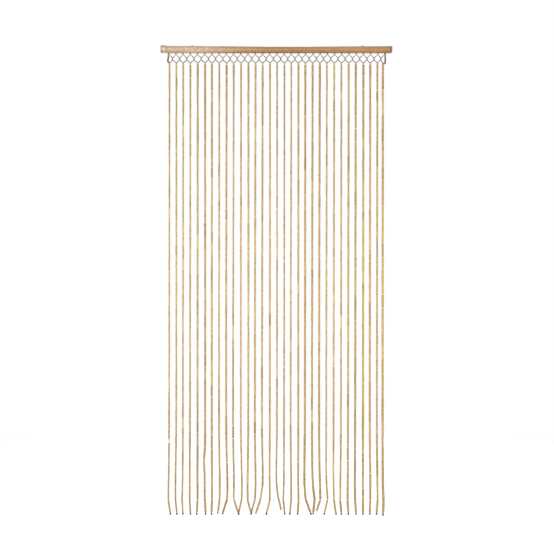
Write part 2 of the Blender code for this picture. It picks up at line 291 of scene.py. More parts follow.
class ShaderGraph:
    """Builds one node tree, a material's or the world's."""

    def __init__(self, tree: bpy.types.NodeTree) -> None:
        """Starts from an empty tree."""
        self.tree = tree
        self.tree.nodes.clear()

    def node(
        self,
        kind: str,
        settings: dict[str, object] | None = None,
        inputs: dict[str | int, object] | None = None,
        output: str | int | None = 0,
    ) -> Value | None:
        """Adds a node.

        Args:
            kind: the node's type.
            settings: its own settings, set first. A ramp's are its `stops`, as (place, colour) pairs.
            inputs: a value or a link for each socket named.
            output: the output to return, or None for a node without one.

        Returns:
            The output, or None.
        """
        node = self.tree.nodes.new(kind)
        for name, setting in (settings or {}).items():
            if name == "stops":
                self._set_stops(node.color_ramp, setting)
            else:
                setattr(node, name, setting)
        for name, given in (inputs or {}).items():
            if isinstance(given, Value):
                self.tree.links.new(given.socket, node.inputs[name])
            else:
                node.inputs[name].default_value = given
        return None if output is None else Value(self, node.outputs[output])

    @staticmethod
    def _set_stops(ramp: bpy.types.ColorRamp, stops: Sequence[tuple[float, Colour]]) -> None:
        """Gives a ramp its stops.

        Args:
            ramp: the ramp.
            stops: its (place, colour) pairs.
        """
        while len(ramp.elements) < len(stops):
            ramp.elements.new(0.5)
        for element, (place, colour) in zip(ramp.elements, stops):
            element.position = place
            element.color = colour

    def split(self, vector: Value) -> tuple[Value, Value, Value]:
        """The three numbers of a vector.

        Args:
            vector: the vector.

        Returns:
            Its X, Y and Z.
        """
        parts = self.node("ShaderNodeSeparateXYZ", inputs={"Vector": vector})
        outputs = parts.socket.node.outputs
        return Value(self, outputs["X"]), Value(self, outputs["Y"]), Value(self, outputs["Z"])

    def mark(self, name: str, output: str = "Vector") -> Value:
        """A mark that the mesh carries at its points."""
        return self.node("ShaderNodeAttribute", {"attribute_name": name}, output=output)

    def scaled(self, vector: Value, scale: Scale) -> Value:
        """A vector times a scale for each axis."""
        return self.node("ShaderNodeVectorMath", {"operation": "MULTIPLY"}, {0: vector, 1: scale})

    def noise(self, vector: Value, scale: Scale, detail: float = 2.0, distortion: float = 0.0) -> Value:
        """Soft noise, about 0.5.

        Args:
            vector: where it is read.
            scale: how many blots it has to a unit of the vector, along each axis.
            detail: how many finer layers it has.
            distortion: how much it is stirred.

        Returns:
            The noise.
        """
        read = self.scaled(vector, scale)
        sockets = {"Vector": read, "Scale": 1.0, "Detail": detail, "Distortion": distortion}
        return self.node("ShaderNodeTexNoise", inputs=sockets)

    def spots(self, vector: Value, scale: Scale, radius: float) -> Value:
        """Round spots.

        Args:
            vector: where they are read.
            scale: how many there are to a unit of the vector, along each axis.
            radius: their radius as a share of the distance between them.

        Returns:
            1 in a spot and 0 outside it.
        """
        sockets = {"Vector": self.scaled(vector, scale), "Scale": 1.0}
        distance = self.node("ShaderNodeTexVoronoi", inputs=sockets, output="Distance")
        return 1 - self.fade(distance, radius * 0.5, radius)

    def fade(self, value: Value, start: float, end: float) -> Value:
        """A soft step.

        Args:
            value: what it follows.
            start: where it is 0.
            end: where it is 1. It may be the lower one.

        Returns:
            The step.
        """
        low, high = min(start, end), max(start, end)
        sockets = {"Value": value, "From Min": low, "From Max": high, "To Min": 0.0, "To Max": 1.0}
        step = self.node("ShaderNodeMapRange", {"interpolation_type": "SMOOTHSTEP"}, sockets)
        return step if start < end else 1 - step

    def band(self, value: Value, middle: float, half: float, soft: float) -> Value:
        """1 within `half` of the middle, falling softly to 0 over the width `soft`."""
        return self.fade(abs(value - middle), half + soft, half)

    def mix(
        self, factor: Value | float, first: Value | Colour, second: Value | Colour, way: str = "MIX"
    ) -> Value:
        """Goes from the first colour to the second.

        Args:
            factor: 0 for the first, 1 for the second.
            first: a colour.
            second: a colour.
            way: how the second is laid on the first, such as MIX or MULTIPLY.

        Returns:
            The colour between.
        """
        settings = {"data_type": "RGBA", "blend_type": way}
        sockets = {MIX_FACTOR: factor, MIX_FIRST: first, MIX_SECOND: second}
        return self.node("ShaderNodeMix", settings, sockets, MIX_RESULT)

    def coats(self, skin: Value, *coats: Coat) -> Value:
        """Lays coats of colour over one another.

        Args:
            skin: the colour under them.
            *coats: the coats, the lowest first.

        Returns:
            The colour on top.
        """
        for shown, colour in coats:
            skin = self.mix(shown, skin, colour)
        return skin

    def relief(self, height: Value, depth: float, strength: float = 1.0) -> Value:
        """A normal bent by a height.

        Args:
            height: from 0 to 1.
            depth: what a height of 1 stands for, in metres.
            strength: how much of it shows.

        Returns:
            The normal.
        """
        sockets = {"Height": height, "Distance": depth, "Strength": strength}
        return self.node("ShaderNodeBump", inputs=sockets)

    def surface(self, **inputs: object) -> None:
        """Ends the graph in a Principled shader.

        Args:
            **inputs: what its sockets get, named with _ for a space.
        """
        sockets = {name.replace("_", " "): given for name, given in inputs.items()}
        shader = self.node("ShaderNodeBsdfPrincipled", inputs=sockets)
        self.node("ShaderNodeOutputMaterial", inputs={"Surface": shader}, output=None)


# Finishes

Band = tuple[float, float, float]  # its middle's place, half its width, and the width it fades over
Fade = tuple[float, float]  # where it is 0 and where it is 1


@dataclass(frozen=True)
class Finish:
    """The look of a surface. Each kind of finish draws its own graph."""

    title: ClassVar[str]

    def draw(self, graph: ShaderGraph) -> None:
        """Draws the finish in its material's empty graph."""
        raise NotImplementedError

    def material(self) -> bpy.types.Material:
        """A new material with this finish.

        Returns:
            The material.
        """
        material = bpy.data.materials.new(self.title)
        material.use_nodes = True
        self.draw(ShaderGraph(material.node_tree))
        return material


@dataclass(frozen=True)
class RailBamboo(Finish):
    """Split bamboo with its skin: pale at the left, partly by a painted highlight, redder to the right,
    with a pale knuckle.
    """

    title: ClassVar[str] = "Rail bamboo"
    # Colour along the rail: the paler left is partly the skin's own tone and partly a painted highlight.
    along: tuple[tuple[float, Colour], ...] = (
        (0.00, paint(190, 159, 121)),
        (0.11, paint(206, 176, 146)),
        (0.22, paint(195, 164, 130)),
        (0.34, paint(174, 131, 86)),
        (0.47, paint(158, 110, 63)),
        (0.64, paint(166, 119, 71)),
        (0.80, paint(179, 135, 86)),
        (0.93, paint(186, 136, 82)),
        (1.00, paint(174, 124, 76)),
    )
    fibre_shade: Colour = paint(210, 196, 174)
    fleck: Colour = paint(246, 226, 194)
    # Dark brown of the nicks, also laid about the holes as grime and painted shade.
    nick_and_shade: Colour = paint(120, 88, 54)
    knuckle: Colour = paint(211, 194, 170)
    outline: Colour = paint(104, 97, 78)
    stain: Colour = paint(172, 166, 142)
    right_end: Colour = paint(124, 108, 92)
    # Painted sheen: the rounded top edge greyer and lighter, as if light from above caught it.
    painted_top_sheen: Colour = paint(164, 148, 122)
    # Painted highlight: a pale band along the rounded front, a little above its middle.
    painted_highlight: Colour = paint(232, 188, 132)
    raw: Colour = paint(206, 182, 146)
    bundles: Colour = paint(120, 92, 60)
    half_length: float = 489.0 * MM
    fibre_scale: Scale = (16.0, 1400.0, 1400.0)
    strand_scale: Scale = (7.0, 260.0, 260.0)
    blot_scale: Scale = (22.0, 60.0, 60.0)
    fleck_scale: Scale = (125.0, 240.0, 240.0)
    nick_scale: Scale = (60.0, 330.0, 330.0)
    bundle_scale: Scale = (0.0, 1100.0, 1100.0)
    painted_highlight_height: Band = mm(1.3, 0.8, 2.4)
    fleck_along: Fade = mm(340.0, -300.0)
    fleck_height: Fade = mm(10.5, 7.0)
    back: Fade = (0.5, 0.8)
    knuckle_along: Fade = mm(-464.8, -466.6)
    knuckle_above: Band = mm(14.4, 2.6, 4.4)
    knuckle_below: Band = mm(-8.2, 2.6, 4.6)
    knuckle_corner: Fade = mm(-474.0, -482.0)
    knuckle_end: Band = mm(-489.0, 3.0, 3.5)
    knuckle_rim: Band = mm(-466.0, 0.8, 2.2)
    groove: Band = mm(-464.4, 0.9, 1.8)
    stain_along: Band = mm(-436.0, 22.0, 14.0)
    stain_height: Fade = mm(8.0, 13.0)
    painted_top_sheen_along: Fade = mm(-260.0, -130.0)
    painted_top_sheen_height: Fade = mm(7.0, 12.0)
    right_end_along: Fade = mm(470.0, 485.0)
    hole_grime_and_shade: Fade = mm(7.0, 3.5)
    # Grime and painted shade on the lower edge about each hole's mouth.
    hole_grime_and_shade_height: Fade = mm(-11.0, -13.8)

    def draw(self, graph: ShaderGraph) -> None:
        """Draws the finish.

        Args:
            graph: its material's empty graph.
        """
        place = graph.node("ShaderNodeTexCoord", output="Object")
        x, _, z = graph.split(place)
        normal_x, normal_y, _ = graph.split(graph.node("ShaderNodeTexCoord", output="Normal"))
        fibres = graph.noise(place, self.fibre_scale, detail=3.0)
        strands = graph.noise(place, self.strand_scale)
        blots = graph.noise(place, self.blot_scale)
        # Painted highlight where the front light would shine on the rounded front
        painted_highlight = graph.band(z, *self.painted_highlight_height) * (0.4 + strands * 0.6)
        flecks = graph.fade(graph.noise(place, self.fleck_scale, detail=3.0), 0.48, 0.66)
        flecks = flecks * graph.fade(x, *self.fleck_along) * graph.fade(abs(z), *self.fleck_height)
        nicks = graph.fade(graph.noise(place, self.nick_scale, distortion=0.6), 0.66, 0.74)
        share = (x + self.half_length) / (2 * self.half_length)
        skin = graph.node("ShaderNodeValToRGB", {"stops": self.along}, {"Fac": share})
        for grain, start, end, most in (
            (fibres, 0.42, 0.7, 0.8),
            (strands, 0.5, 0.72, 0.7),
            (blots, 0.45, 0.75, 0.35),
        ):
            shown = graph.fade(grain, start, end) * most
            skin = graph.mix(shown, skin, self.fibre_shade, "MULTIPLY")
        marks = ((painted_highlight * 0.4, self.painted_highlight), (flecks * 0.48, self.fleck), (nicks * 0.5, self.nick_and_shade))
        skin = graph.coats(skin, *marks, *self._knuckle(graph, x, z, blots), *self._ends(graph, x, z))
        split = graph.fade(fibres, 0.35, 0.7) * 0.8
        raw = graph.mix(split, self.raw, self.fibre_shade, "MULTIPLY")
        back = graph.fade(normal_y, *self.back)
        skin = graph.mix(back, skin, raw)
        grain = graph.mix(graph.spots(place, self.bundle_scale, 0.5), self.raw, self.bundles)
        skin = graph.mix(graph.fade(abs(normal_x), 0.85, 0.95) * 0.85, skin, grain)
        height = fibres * 0.5 + strands * 0.35 + nicks * -0.5 + flecks * 0.1
        graph.surface(
            Base_Color=skin,
            Roughness=0.4 + fibres * 0.18 + back * 0.25,
            Normal=graph.relief(height, 0.25 * MM, 0.7),
            Coat_Weight=0.12,
            Coat_Roughness=0.3,
        )

    def _knuckle(self, graph: ShaderGraph, x: Value, z: Value, blots: Value) -> list[Coat]:
        """The coats of the pale knuckle at the left end, with its outline and groove.

        Args:
            graph: the finish's graph.
            x: the place along the rail.
            z: the height.
            blots: soft noise.

        Returns:
            The coats.
        """
        knuckle = graph.fade(x, *self.knuckle_along)
        above = graph.band(z, *self.knuckle_above)
        below = graph.band(z, *self.knuckle_below)
        below = below * (0.5 + graph.fade(x, *self.knuckle_corner) * 0.5)
        sides = graph.band(x, *self.knuckle_end) + graph.band(x, *self.knuckle_rim) * 0.6
        coats = [(knuckle * 0.9, self.knuckle)]
        for edge, plain, blotted in ((above, 0.24, 0.5), (below, 0.4, 0.6), (sides, 0.1, 0.6)):
            coats.append((knuckle * edge * (plain + blots * blotted), self.outline))
        return [*coats, (graph.band(x, *self.groove) * above * 0.9, self.outline)]

    def _ends(self, graph: ShaderGraph, x: Value, z: Value) -> list[Coat]:
        """The coats of the upper edge's stain, the top edge's painted sheen, the dark right end, and the
        grime and painted shade about the holes.

        Args:
            graph: the finish's graph.
            x: the place along the rail.
            z: the height.

        Returns:
            The coats.
        """
        stain = graph.band(x, *self.stain_along) * graph.fade(z, *self.stain_height)
        # Painted sheen on the top edge, fading in from 260 to 130 mm left of the middle
        upper = graph.fade(z, *self.painted_top_sheen_height) * graph.fade(x, *self.painted_top_sheen_along)
        right_end = graph.fade(x, *self.right_end_along)
        from_hole = abs(((x - FIRST_HOLE) / HOLE_PITCH + 0.5).fraction() - 0.5) * HOLE_PITCH
        # Grime and painted shade about each hole's mouth on the lower edge
        grime = graph.fade(from_hole, *self.hole_grime_and_shade) * graph.fade(z, *self.hole_grime_and_shade_height)
        return [
            (stain * 0.65, self.stain),
            (upper * 0.7, self.painted_top_sheen),
            (right_end * 0.75, self.right_end),
            (grime * 0.5, self.nick_and_shade),
        ]


@dataclass(frozen=True)
class TubeBamboo(Finish):
    """Thin bamboo with its skin. Each tube brings its own tone, grain and marks of wear."""

    title: ClassVar[str] = "Tube bamboo"
    fibre_shade: Colour = paint(196, 178, 146)
    pale_shade: Colour = paint(236, 216, 178)
    speck: Colour = paint(96, 72, 44)
    grime: Colour = paint(118, 92, 58)
    ring: Colour = paint(150, 120, 80)
    inside: Colour = paint(222, 200, 160)
    fibre_scale: Scale = (1.5, 1.5, 0.05)
    blot_scale: Scale = (0.25, 0.25, 0.1)
    speck_scale: Scale = (0.5, 0.5, 0.16)

    def draw(self, graph: ShaderGraph) -> None:
        """Draws the finish.

        Args:
            graph: its material's empty graph.
        """
        grain = graph.mark("grain")
        end, ring, cut = graph.split(graph.mark("wear"))
        fibres = graph.noise(grain, self.fibre_scale, detail=3.0)
        blots = graph.noise(grain, self.blot_scale)
        specks = graph.spots(grain, self.speck_scale, 0.14)
        skin = graph.mark("tone", "Color")
        skin = graph.mix(graph.fade(fibres, 0.4, 0.72) * 0.75, skin, self.fibre_shade, "MULTIPLY")
        skin = graph.mix(graph.fade(blots, 0.52, 0.75) * 0.5, skin, self.pale_shade)
        skin = graph.mix(graph.fade(blots, 0.48, 0.25) * 0.9, skin, self.fibre_shade, "MULTIPLY")
        worn = (end * (0.35 + blots * 0.7), self.grime)
        skin = graph.coats(
            skin, (specks * 0.6, self.speck), (ring * 0.6, self.ring), worn, (cut, self.inside)
        )
        graph.surface(
            Base_Color=skin,
            Roughness=0.42 + fibres * 0.2 + cut * 0.3,
            Normal=graph.relief(fibres * 0.6 + specks * -0.4, 0.12 * MM, 0.6),
            Specular_IOR_Level=0.35,
        )


@dataclass(frozen=True)
class PlantTwine(Finish):
    """Twine of dull plant fibre, whose fibres wind along each ply."""

    title: ClassVar[str] = "Plant twine"
    light: Colour = paint(158, 131, 87)
    dark: Colour = paint(97, 75, 44)
    grime: Colour = paint(100, 88, 66)
    fibre_scale: Scale = (1.7, 1.7, 0.12)
    lint_scale: Scale = (4.0, 4.0, 0.9)

    def draw(self, graph: ShaderGraph) -> None:
        """Draws the finish.

        Args:
            graph: its material's empty graph.
        """
        fibre = graph.mark("fibre")
        fibres = graph.noise(fibre, self.fibre_scale, detail=3.0)
        lint = graph.noise(fibre, self.lint_scale)
        grimy, _, _ = graph.split(graph.mark("wear"))
        colour = graph.mix(graph.fade(fibres, 0.32, 0.68), self.dark, self.light)
        colour = graph.mix(graph.fade(lint, 0.6, 0.8) * 0.5, colour, self.light)
        colour = graph.mix(grimy * 0.75, colour, self.grime)
        graph.surface(
            Base_Color=colour,
            Roughness=0.95,
            Normal=graph.relief(fibres * 0.7 + lint * 0.3, 0.25 * MM, 0.9),
            Specular_IOR_Level=0.2,
        )


@dataclass(frozen=True)
class DullSteel(Finish):
    """Zinc-plated steel, brushed upright and tarnished."""

    title: ClassVar[str] = "Dull steel"
    bright: Colour = paint(168, 160, 148)
    tarnish: Colour = paint(112, 98, 82)
    brush_scale: Scale = (2600.0, 2600.0, 120.0)
    stain_scale: Scale = (260.0, 260.0, 260.0)

    def draw(self, graph: ShaderGraph) -> None:
        """Draws the finish.

        Args:
            graph: its material's empty graph.
        """
        place = graph.node("ShaderNodeTexCoord", output="Object")
        brushed = graph.noise(place, self.brush_scale)
        tarnish = graph.fade(graph.noise(place, self.stain_scale, detail=3.0), 0.45, 0.65)
        graph.surface(
            Base_Color=graph.mix(tarnish * 0.8, self.bright, self.tarnish),
            Metallic=1.0,
            Roughness=0.32 + brushed * 0.12 + tarnish * 0.2,
            Normal=graph.relief(brushed, 0.05 * MM, 0.5),
        )


@dataclass(frozen=True)
class StudioWhite(Finish):
    """The plain pale floor."""

    title: ClassVar[str] = "Studio white"
    colour: Colour = paint(180, 180, 180)
    light: Colour = paint(255, 255, 255)
    glow: float = 0.755

    def draw(self, graph: ShaderGraph) -> None:
        """Draws the finish.

        Args:
            graph: its material's empty graph.
        """
        graph.surface(
            Base_Color=self.colour,
            Roughness=0.9,
            Emission_Color=self.light,
            Emission_Strength=self.glow,
        )


# Paths and skins


def unit(vectors: np.ndarray) -> np.ndarray:
    """Each vector at length 1."""
    return vectors / np.linalg.norm(vectors, axis=-1, keepdims=True)


def softened(route: Sequence[Sequence[float]], rounds: int = 3) -> np.ndarray:
    """A route with its corners cut off round, again and again, and its two ends kept.

    Args:
        route: the route's points.
        rounds: how many times the corners are cut.

    Returns:
        The points of the soft path.
    """
    path = np.array(route, float)
    for _ in range(rounds):
        before, after = path[:-1], path[1:]
        cut = np.stack([0.75 * before + 0.25 * after, 0.25 * before + 0.75 * after], axis=1)
        path = np.concatenate([path[:1], cut.reshape(-1, 3), path[-1:]])
    return path


def lengths_along(path: np.ndarray) -> np.ndarray:
    """How far each point lies along a path."""
    return np.concatenate([[0.0], np.cumsum(np.linalg.norm(np.diff(path, axis=0), axis=1))])


def evenly(path: np.ndarray, step: float) -> np.ndarray:
    """Points about a step apart on a path.

    Args:
        path: the path's points.
        step: the distance between the new points.

    Returns:
        The new points.
    """
    lengths = lengths_along(path)
    stations = np.linspace(0.0, lengths[-1], max(2, round(lengths[-1] / step) + 1))
    return np.stack([np.interp(stations, lengths, path[:, axis]) for axis in range(3)], axis=1)


def cross_axes(path: np.ndarray) -> tuple[np.ndarray, np.ndarray]:
    """Two directions across a path at each of its points, turned no more than the path turns.

    Args:
        path: the path's points.

    Returns:
        The sideways directions and the directions square to them.
    """
    tangents = unit(np.gradient(path, axis=0))
    start = np.array([1.0, 0.0, 0.0]) if abs(tangents[0][0]) < 0.8 else np.array([0.0, 1.0, 0.0])
    across = []
    for tangent in tangents:
        start = start - tangent * (start @ tangent)
        start = start / np.linalg.norm(start)
        across.append(start)
    across = np.array(across)
    return across, np.cross(tangents, across)


def swept(path: np.ndarray, sections: np.ndarray) -> np.ndarray:
    """Rings where sections are carried along a path.

    Args:
        path: n points.
        sections: n sections, or one for all, as pairs of distances across the path.

    Returns:
        The rings' points, n rings of them.
    """
    across, square = cross_axes(path)
    sections = np.broadcast_to(sections, (len(path), *sections.shape[-2:]))
    aside, up = sections[..., :1], sections[..., 1:]
    return path[:, None] + aside * across[:, None] + up * square[:, None]


def circle(sides: int) -> np.ndarray:
    """The points of a circle of radius 1.

    Args:
        sides: how many points.

    Returns:
        The points, as pairs.
    """
    turns = 2 * math.pi * np.arange(sides) / sides
    return np.stack([np.cos(turns), np.sin(turns)], axis=-1)


@dataclass
class Loft:
    """Skins drawn through rings of points, gathered into one mesh with its finish's marks."""

    name: str
    points: list[np.ndarray] = field(default_factory=list)
    faces: list[list[int]] = field(default_factory=list)
    marks: dict[str, list[np.ndarray]] = field(default_factory=dict)
    count: int = 0

    def add(self, rings: np.ndarray, closing: Closing, **marks: np.ndarray) -> None:
        """Adds a skin.

        Args:
            rings: its rings of points.
            closing: how it is closed.
            **marks: for each mark, a vector for every point.
        """
        ring_count, sides = rings.shape[:2]
        numbers = self.count + np.arange(ring_count * sides).reshape(ring_count, sides)
        ahead = np.roll(numbers, -1, axis=0)
        if closing is Closing.CAPS:
            self.faces += [numbers[0][::-1].tolist(), numbers[-1].tolist()]
            numbers, ahead = numbers[:-1], ahead[:-1]
        corners = [numbers, np.roll(numbers, -1, axis=1), np.roll(ahead, -1, axis=1), ahead]
        quads = np.stack(corners, axis=-1)
        self.faces += quads.reshape(-1, 4).tolist()
        self.points.append(rings.reshape(-1, 3))
        for name, values in marks.items():
            self.marks.setdefault(name, []).append(np.broadcast_to(values, rings.shape).reshape(-1, 3))
        self.count += ring_count * sides

    def build(self, finish: Finish, sharp: Sharp) -> bpy.types.Object:
        """Makes the mesh.

        Args:
            finish: its finish.
            sharp: which edges stay sharp.

        Returns:
            The object, linked to the scene.
        """
        mesh = bpy.data.meshes.new(self.name)
        mesh.from_pydata(np.concatenate(self.points).tolist(), [], self.faces)
        for name, parts in self.marks.items():
            mark = mesh.attributes.new(name, "FLOAT_VECTOR", "POINT")
            mark.data.foreach_set("vector", np.concatenate(parts).astype(np.float32).ravel())
        return finished_object(self.name, mesh, finish, sharp)


# Objects


def new_object(name: str, data: bpy.types.ID) -> bpy.types.Object:
    """Makes an object.

    Args:
        name: its name.
        data: its mesh, curve, light or camera.

    Returns:
        The object, linked to the scene.
    """
    obj = bpy.data.objects.new(name, data)
    bpy.context.scene.collection.objects.link(obj)
    return obj


def rework(mesh: bpy.types.Mesh, work: Callable[[bmesh.types.BMesh], object]) -> None:
    """Does a piece of bmesh work on a mesh.

    Args:
        mesh: the mesh.
        work: what is done to it.
    """
    bm = bmesh.new()
    bm.from_mesh(mesh)
    work(bm)
    bm.to_mesh(mesh)
    bm.free()


def smooth(mesh: bpy.types.Mesh, sharp: Sharp) -> None:
    """Smooths a mesh but for its sharp edges."""
    mesh.shade_smooth()
    mesh.set_sharp_from_angle(angle=math.radians(sharp.value))


def finished_object(name: str, mesh: bpy.types.Mesh, finish: Finish, sharp: Sharp) -> bpy.types.Object:
    """Turns a mesh's faces outward, smooths it and makes it an object.

    Args:
        name: the object's name.
        mesh: its mesh.
        finish: its finish.
        sharp: which edges stay sharp.

    Returns:
        The object, linked to the scene.
    """
    rework(mesh, lambda bm: bmesh.ops.recalc_face_normals(bm, faces=bm.faces))
    smooth(mesh, sharp)
    mesh.materials.clear()
    mesh.materials.append(finish.material())
    return new_object(name, mesh)


def baked_mesh(obj: bpy.types.Object) -> bpy.types.Mesh:
    """An object's mesh with its modifiers in it.

    Args:
        obj: the object.

    Returns:
        A mesh of its own.
    """
    bpy.context.view_layer.update()
    graph = bpy.context.evaluated_depsgraph_get()
    return bpy.data.meshes.new_from_object(obj.evaluated_get(graph))


def cut(obj: bpy.types.Object, cutters: Sequence[bpy.types.Object]) -> None:
    """Cuts some objects out of another, then removes them.

    Args:
        obj: the object that is cut.
        cutters: what is cut out of it.
    """
    group = bpy.data.collections.new("Cutters")
    bpy.context.scene.collection.children.link(group)
    for cutter in cutters:
        bpy.context.scene.collection.objects.unlink(cutter)
        group.objects.link(cutter)
    modifier = obj.modifiers.new("Cuts", "BOOLEAN")
    modifier.operation = "DIFFERENCE"
    modifier.solver = "EXACT"
    modifier.operand_type = "COLLECTION"
    modifier.collection = group
    mesh = baked_mesh(obj)
    obj.modifiers.clear()
    obj.data = mesh
    for cutter in cutters:
        bpy.data.objects.remove(cutter)
    bpy.data.collections.remove(group)


def fasten(obj: bpy.types.Object, slot: Slot, *nodes: str) -> bpy.types.Object:
    """Hangs a piece on the curtain's body.

    Args:
        obj: the piece.
        slot: not used.
        *nodes: the solids that it stands for.

    Returns:
        The piece.
    """
    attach(obj, BODY)
    if nodes:
        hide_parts(*nodes)
    return obj


# Where a string hangs


def eased(heights: Sequence[float], values: Sequence[float], height: float) -> float:
    """A smooth curve through the values at the heights, read at one height.

    Args:
        heights: they run down.
        values: the value at each height.
        height: where the curve is read.

    Returns:
        The curve's value there.
    """
    last = len(heights) - 1
    span = max(i for i in range(last) if heights[i] >= height or i == 0)
    slopes = []
    for i in (span, span + 1):
        before = max(i - 1, 0)
        after = min(i + 1, last)
        slopes.append((values[after] - values[before]) / (heights[after] - heights[before]))
    length = heights[span + 1] - heights[span]
    t = (height - heights[span]) / length
    return (
        (2 * t**3 - 3 * t**2 + 1) * values[span]
        + (t**3 - 2 * t**2 + t) * length * slopes[0]
        + (3 * t**2 - 2 * t**3) * values[span + 1]
        + (t**3 - t**2) * length * slopes[1]
    )


def nearness(distance: float, reach: float) -> float:
    """1 at no distance, falling evenly to 0 at the reach and beyond."""
    return max(0.0, 1 - distance / reach)


def even_heights(top: float, bottom: float, step: float) -> list[float]:
    """Heights from a top down to a bottom, about a step apart."""
    count = round((top - bottom) / step)
    return [top + (bottom - top) * number / count for number in range(count + 1)]


@dataclass(frozen=True)
class StringLine:
    """The line that one string hangs along, and the runs of tubes on it."""

    index: int
    sway: float = 1.2 * MM
    sway_turn: float = 2.3  # radians from one string's sway to the next
    tube_length: float = 53.5 * MM
    uneven_length: float = 2.5 * MM
    uneven_joint: float = 4.4 * MM
    kink_reach: float = 56.0 * MM
    end_above_knot: float = 0.95  # as a share of the foot knot's size

    @property
    def row(self) -> String:
        """The string's row in the table."""
        return STRINGS[self.index]

    @property
    def foot(self) -> float:
        """The height of the foot knot's middle, or of a bare end."""
        return FOOT_HEIGHT + self.row.rise * MM

    @property
    def tubes_end(self) -> float:
        """The height at which the last tube ends."""
        return self.foot + self.end_above_knot * self.row.knot * MM

    def point(self, height: float) -> np.ndarray:
        """Where the string's middle line is at a height.

        Args:
            height: the height.

        Returns:
            The point.
        """
        row = self.row
        offsets = [offset * MM for offset in (0.0, row.low, row.knee, row.shin, row.foot)]
        across = row.hang * MM + eased(BEND_HEIGHTS, offsets, height)
        if self.index in KINKS:
            middle, depth = KINKS[self.index]
            across += depth * nearness(abs(height - middle), self.kink_reach)
        fall = (height - KNOT_HEIGHT) / (FOOT_HEIGHT - KNOT_HEIGHT)
        sway = self.sway * math.sin(self.sway_turn * self.index) * math.sin(math.pi * fall)
        swing = max(0.0, (height - LOW_HEIGHT) / (FOOT_HEIGHT - LOW_HEIGHT))
        return np.array([across, CURTAIN_PLANE + sway - row.fore * MM * swing**2, height])

    def tube_runs(self) -> list[tuple[float, float]]:
        """The (top, bottom) pairs of the stretches that tubes fill."""
        ends = [TUBES_START, *BARE_SPANS.get(self.index, ()), self.tubes_end]
        return list(zip(ends[::2], ends[1::2]))

    def joints(self) -> list[list[float]]:
        """The heights at which the tubes of each run meet, a little uneven.

        Returns:
            A list of heights for each run, its two ends with them.
        """
        draw = Chance.JOINTS.source(self.index)
        length = self.tube_length + draw.uniform(-self.uneven_length, self.uneven_length)
        uneven = self.uneven_joint
        runs = []
        for top, bottom in self.tube_runs():
            first, *inner, last = even_heights(top, bottom, length)
            runs.append([first, *[height + draw.uniform(-uneven, uneven) for height in inner], last])
        return runs


# Rail


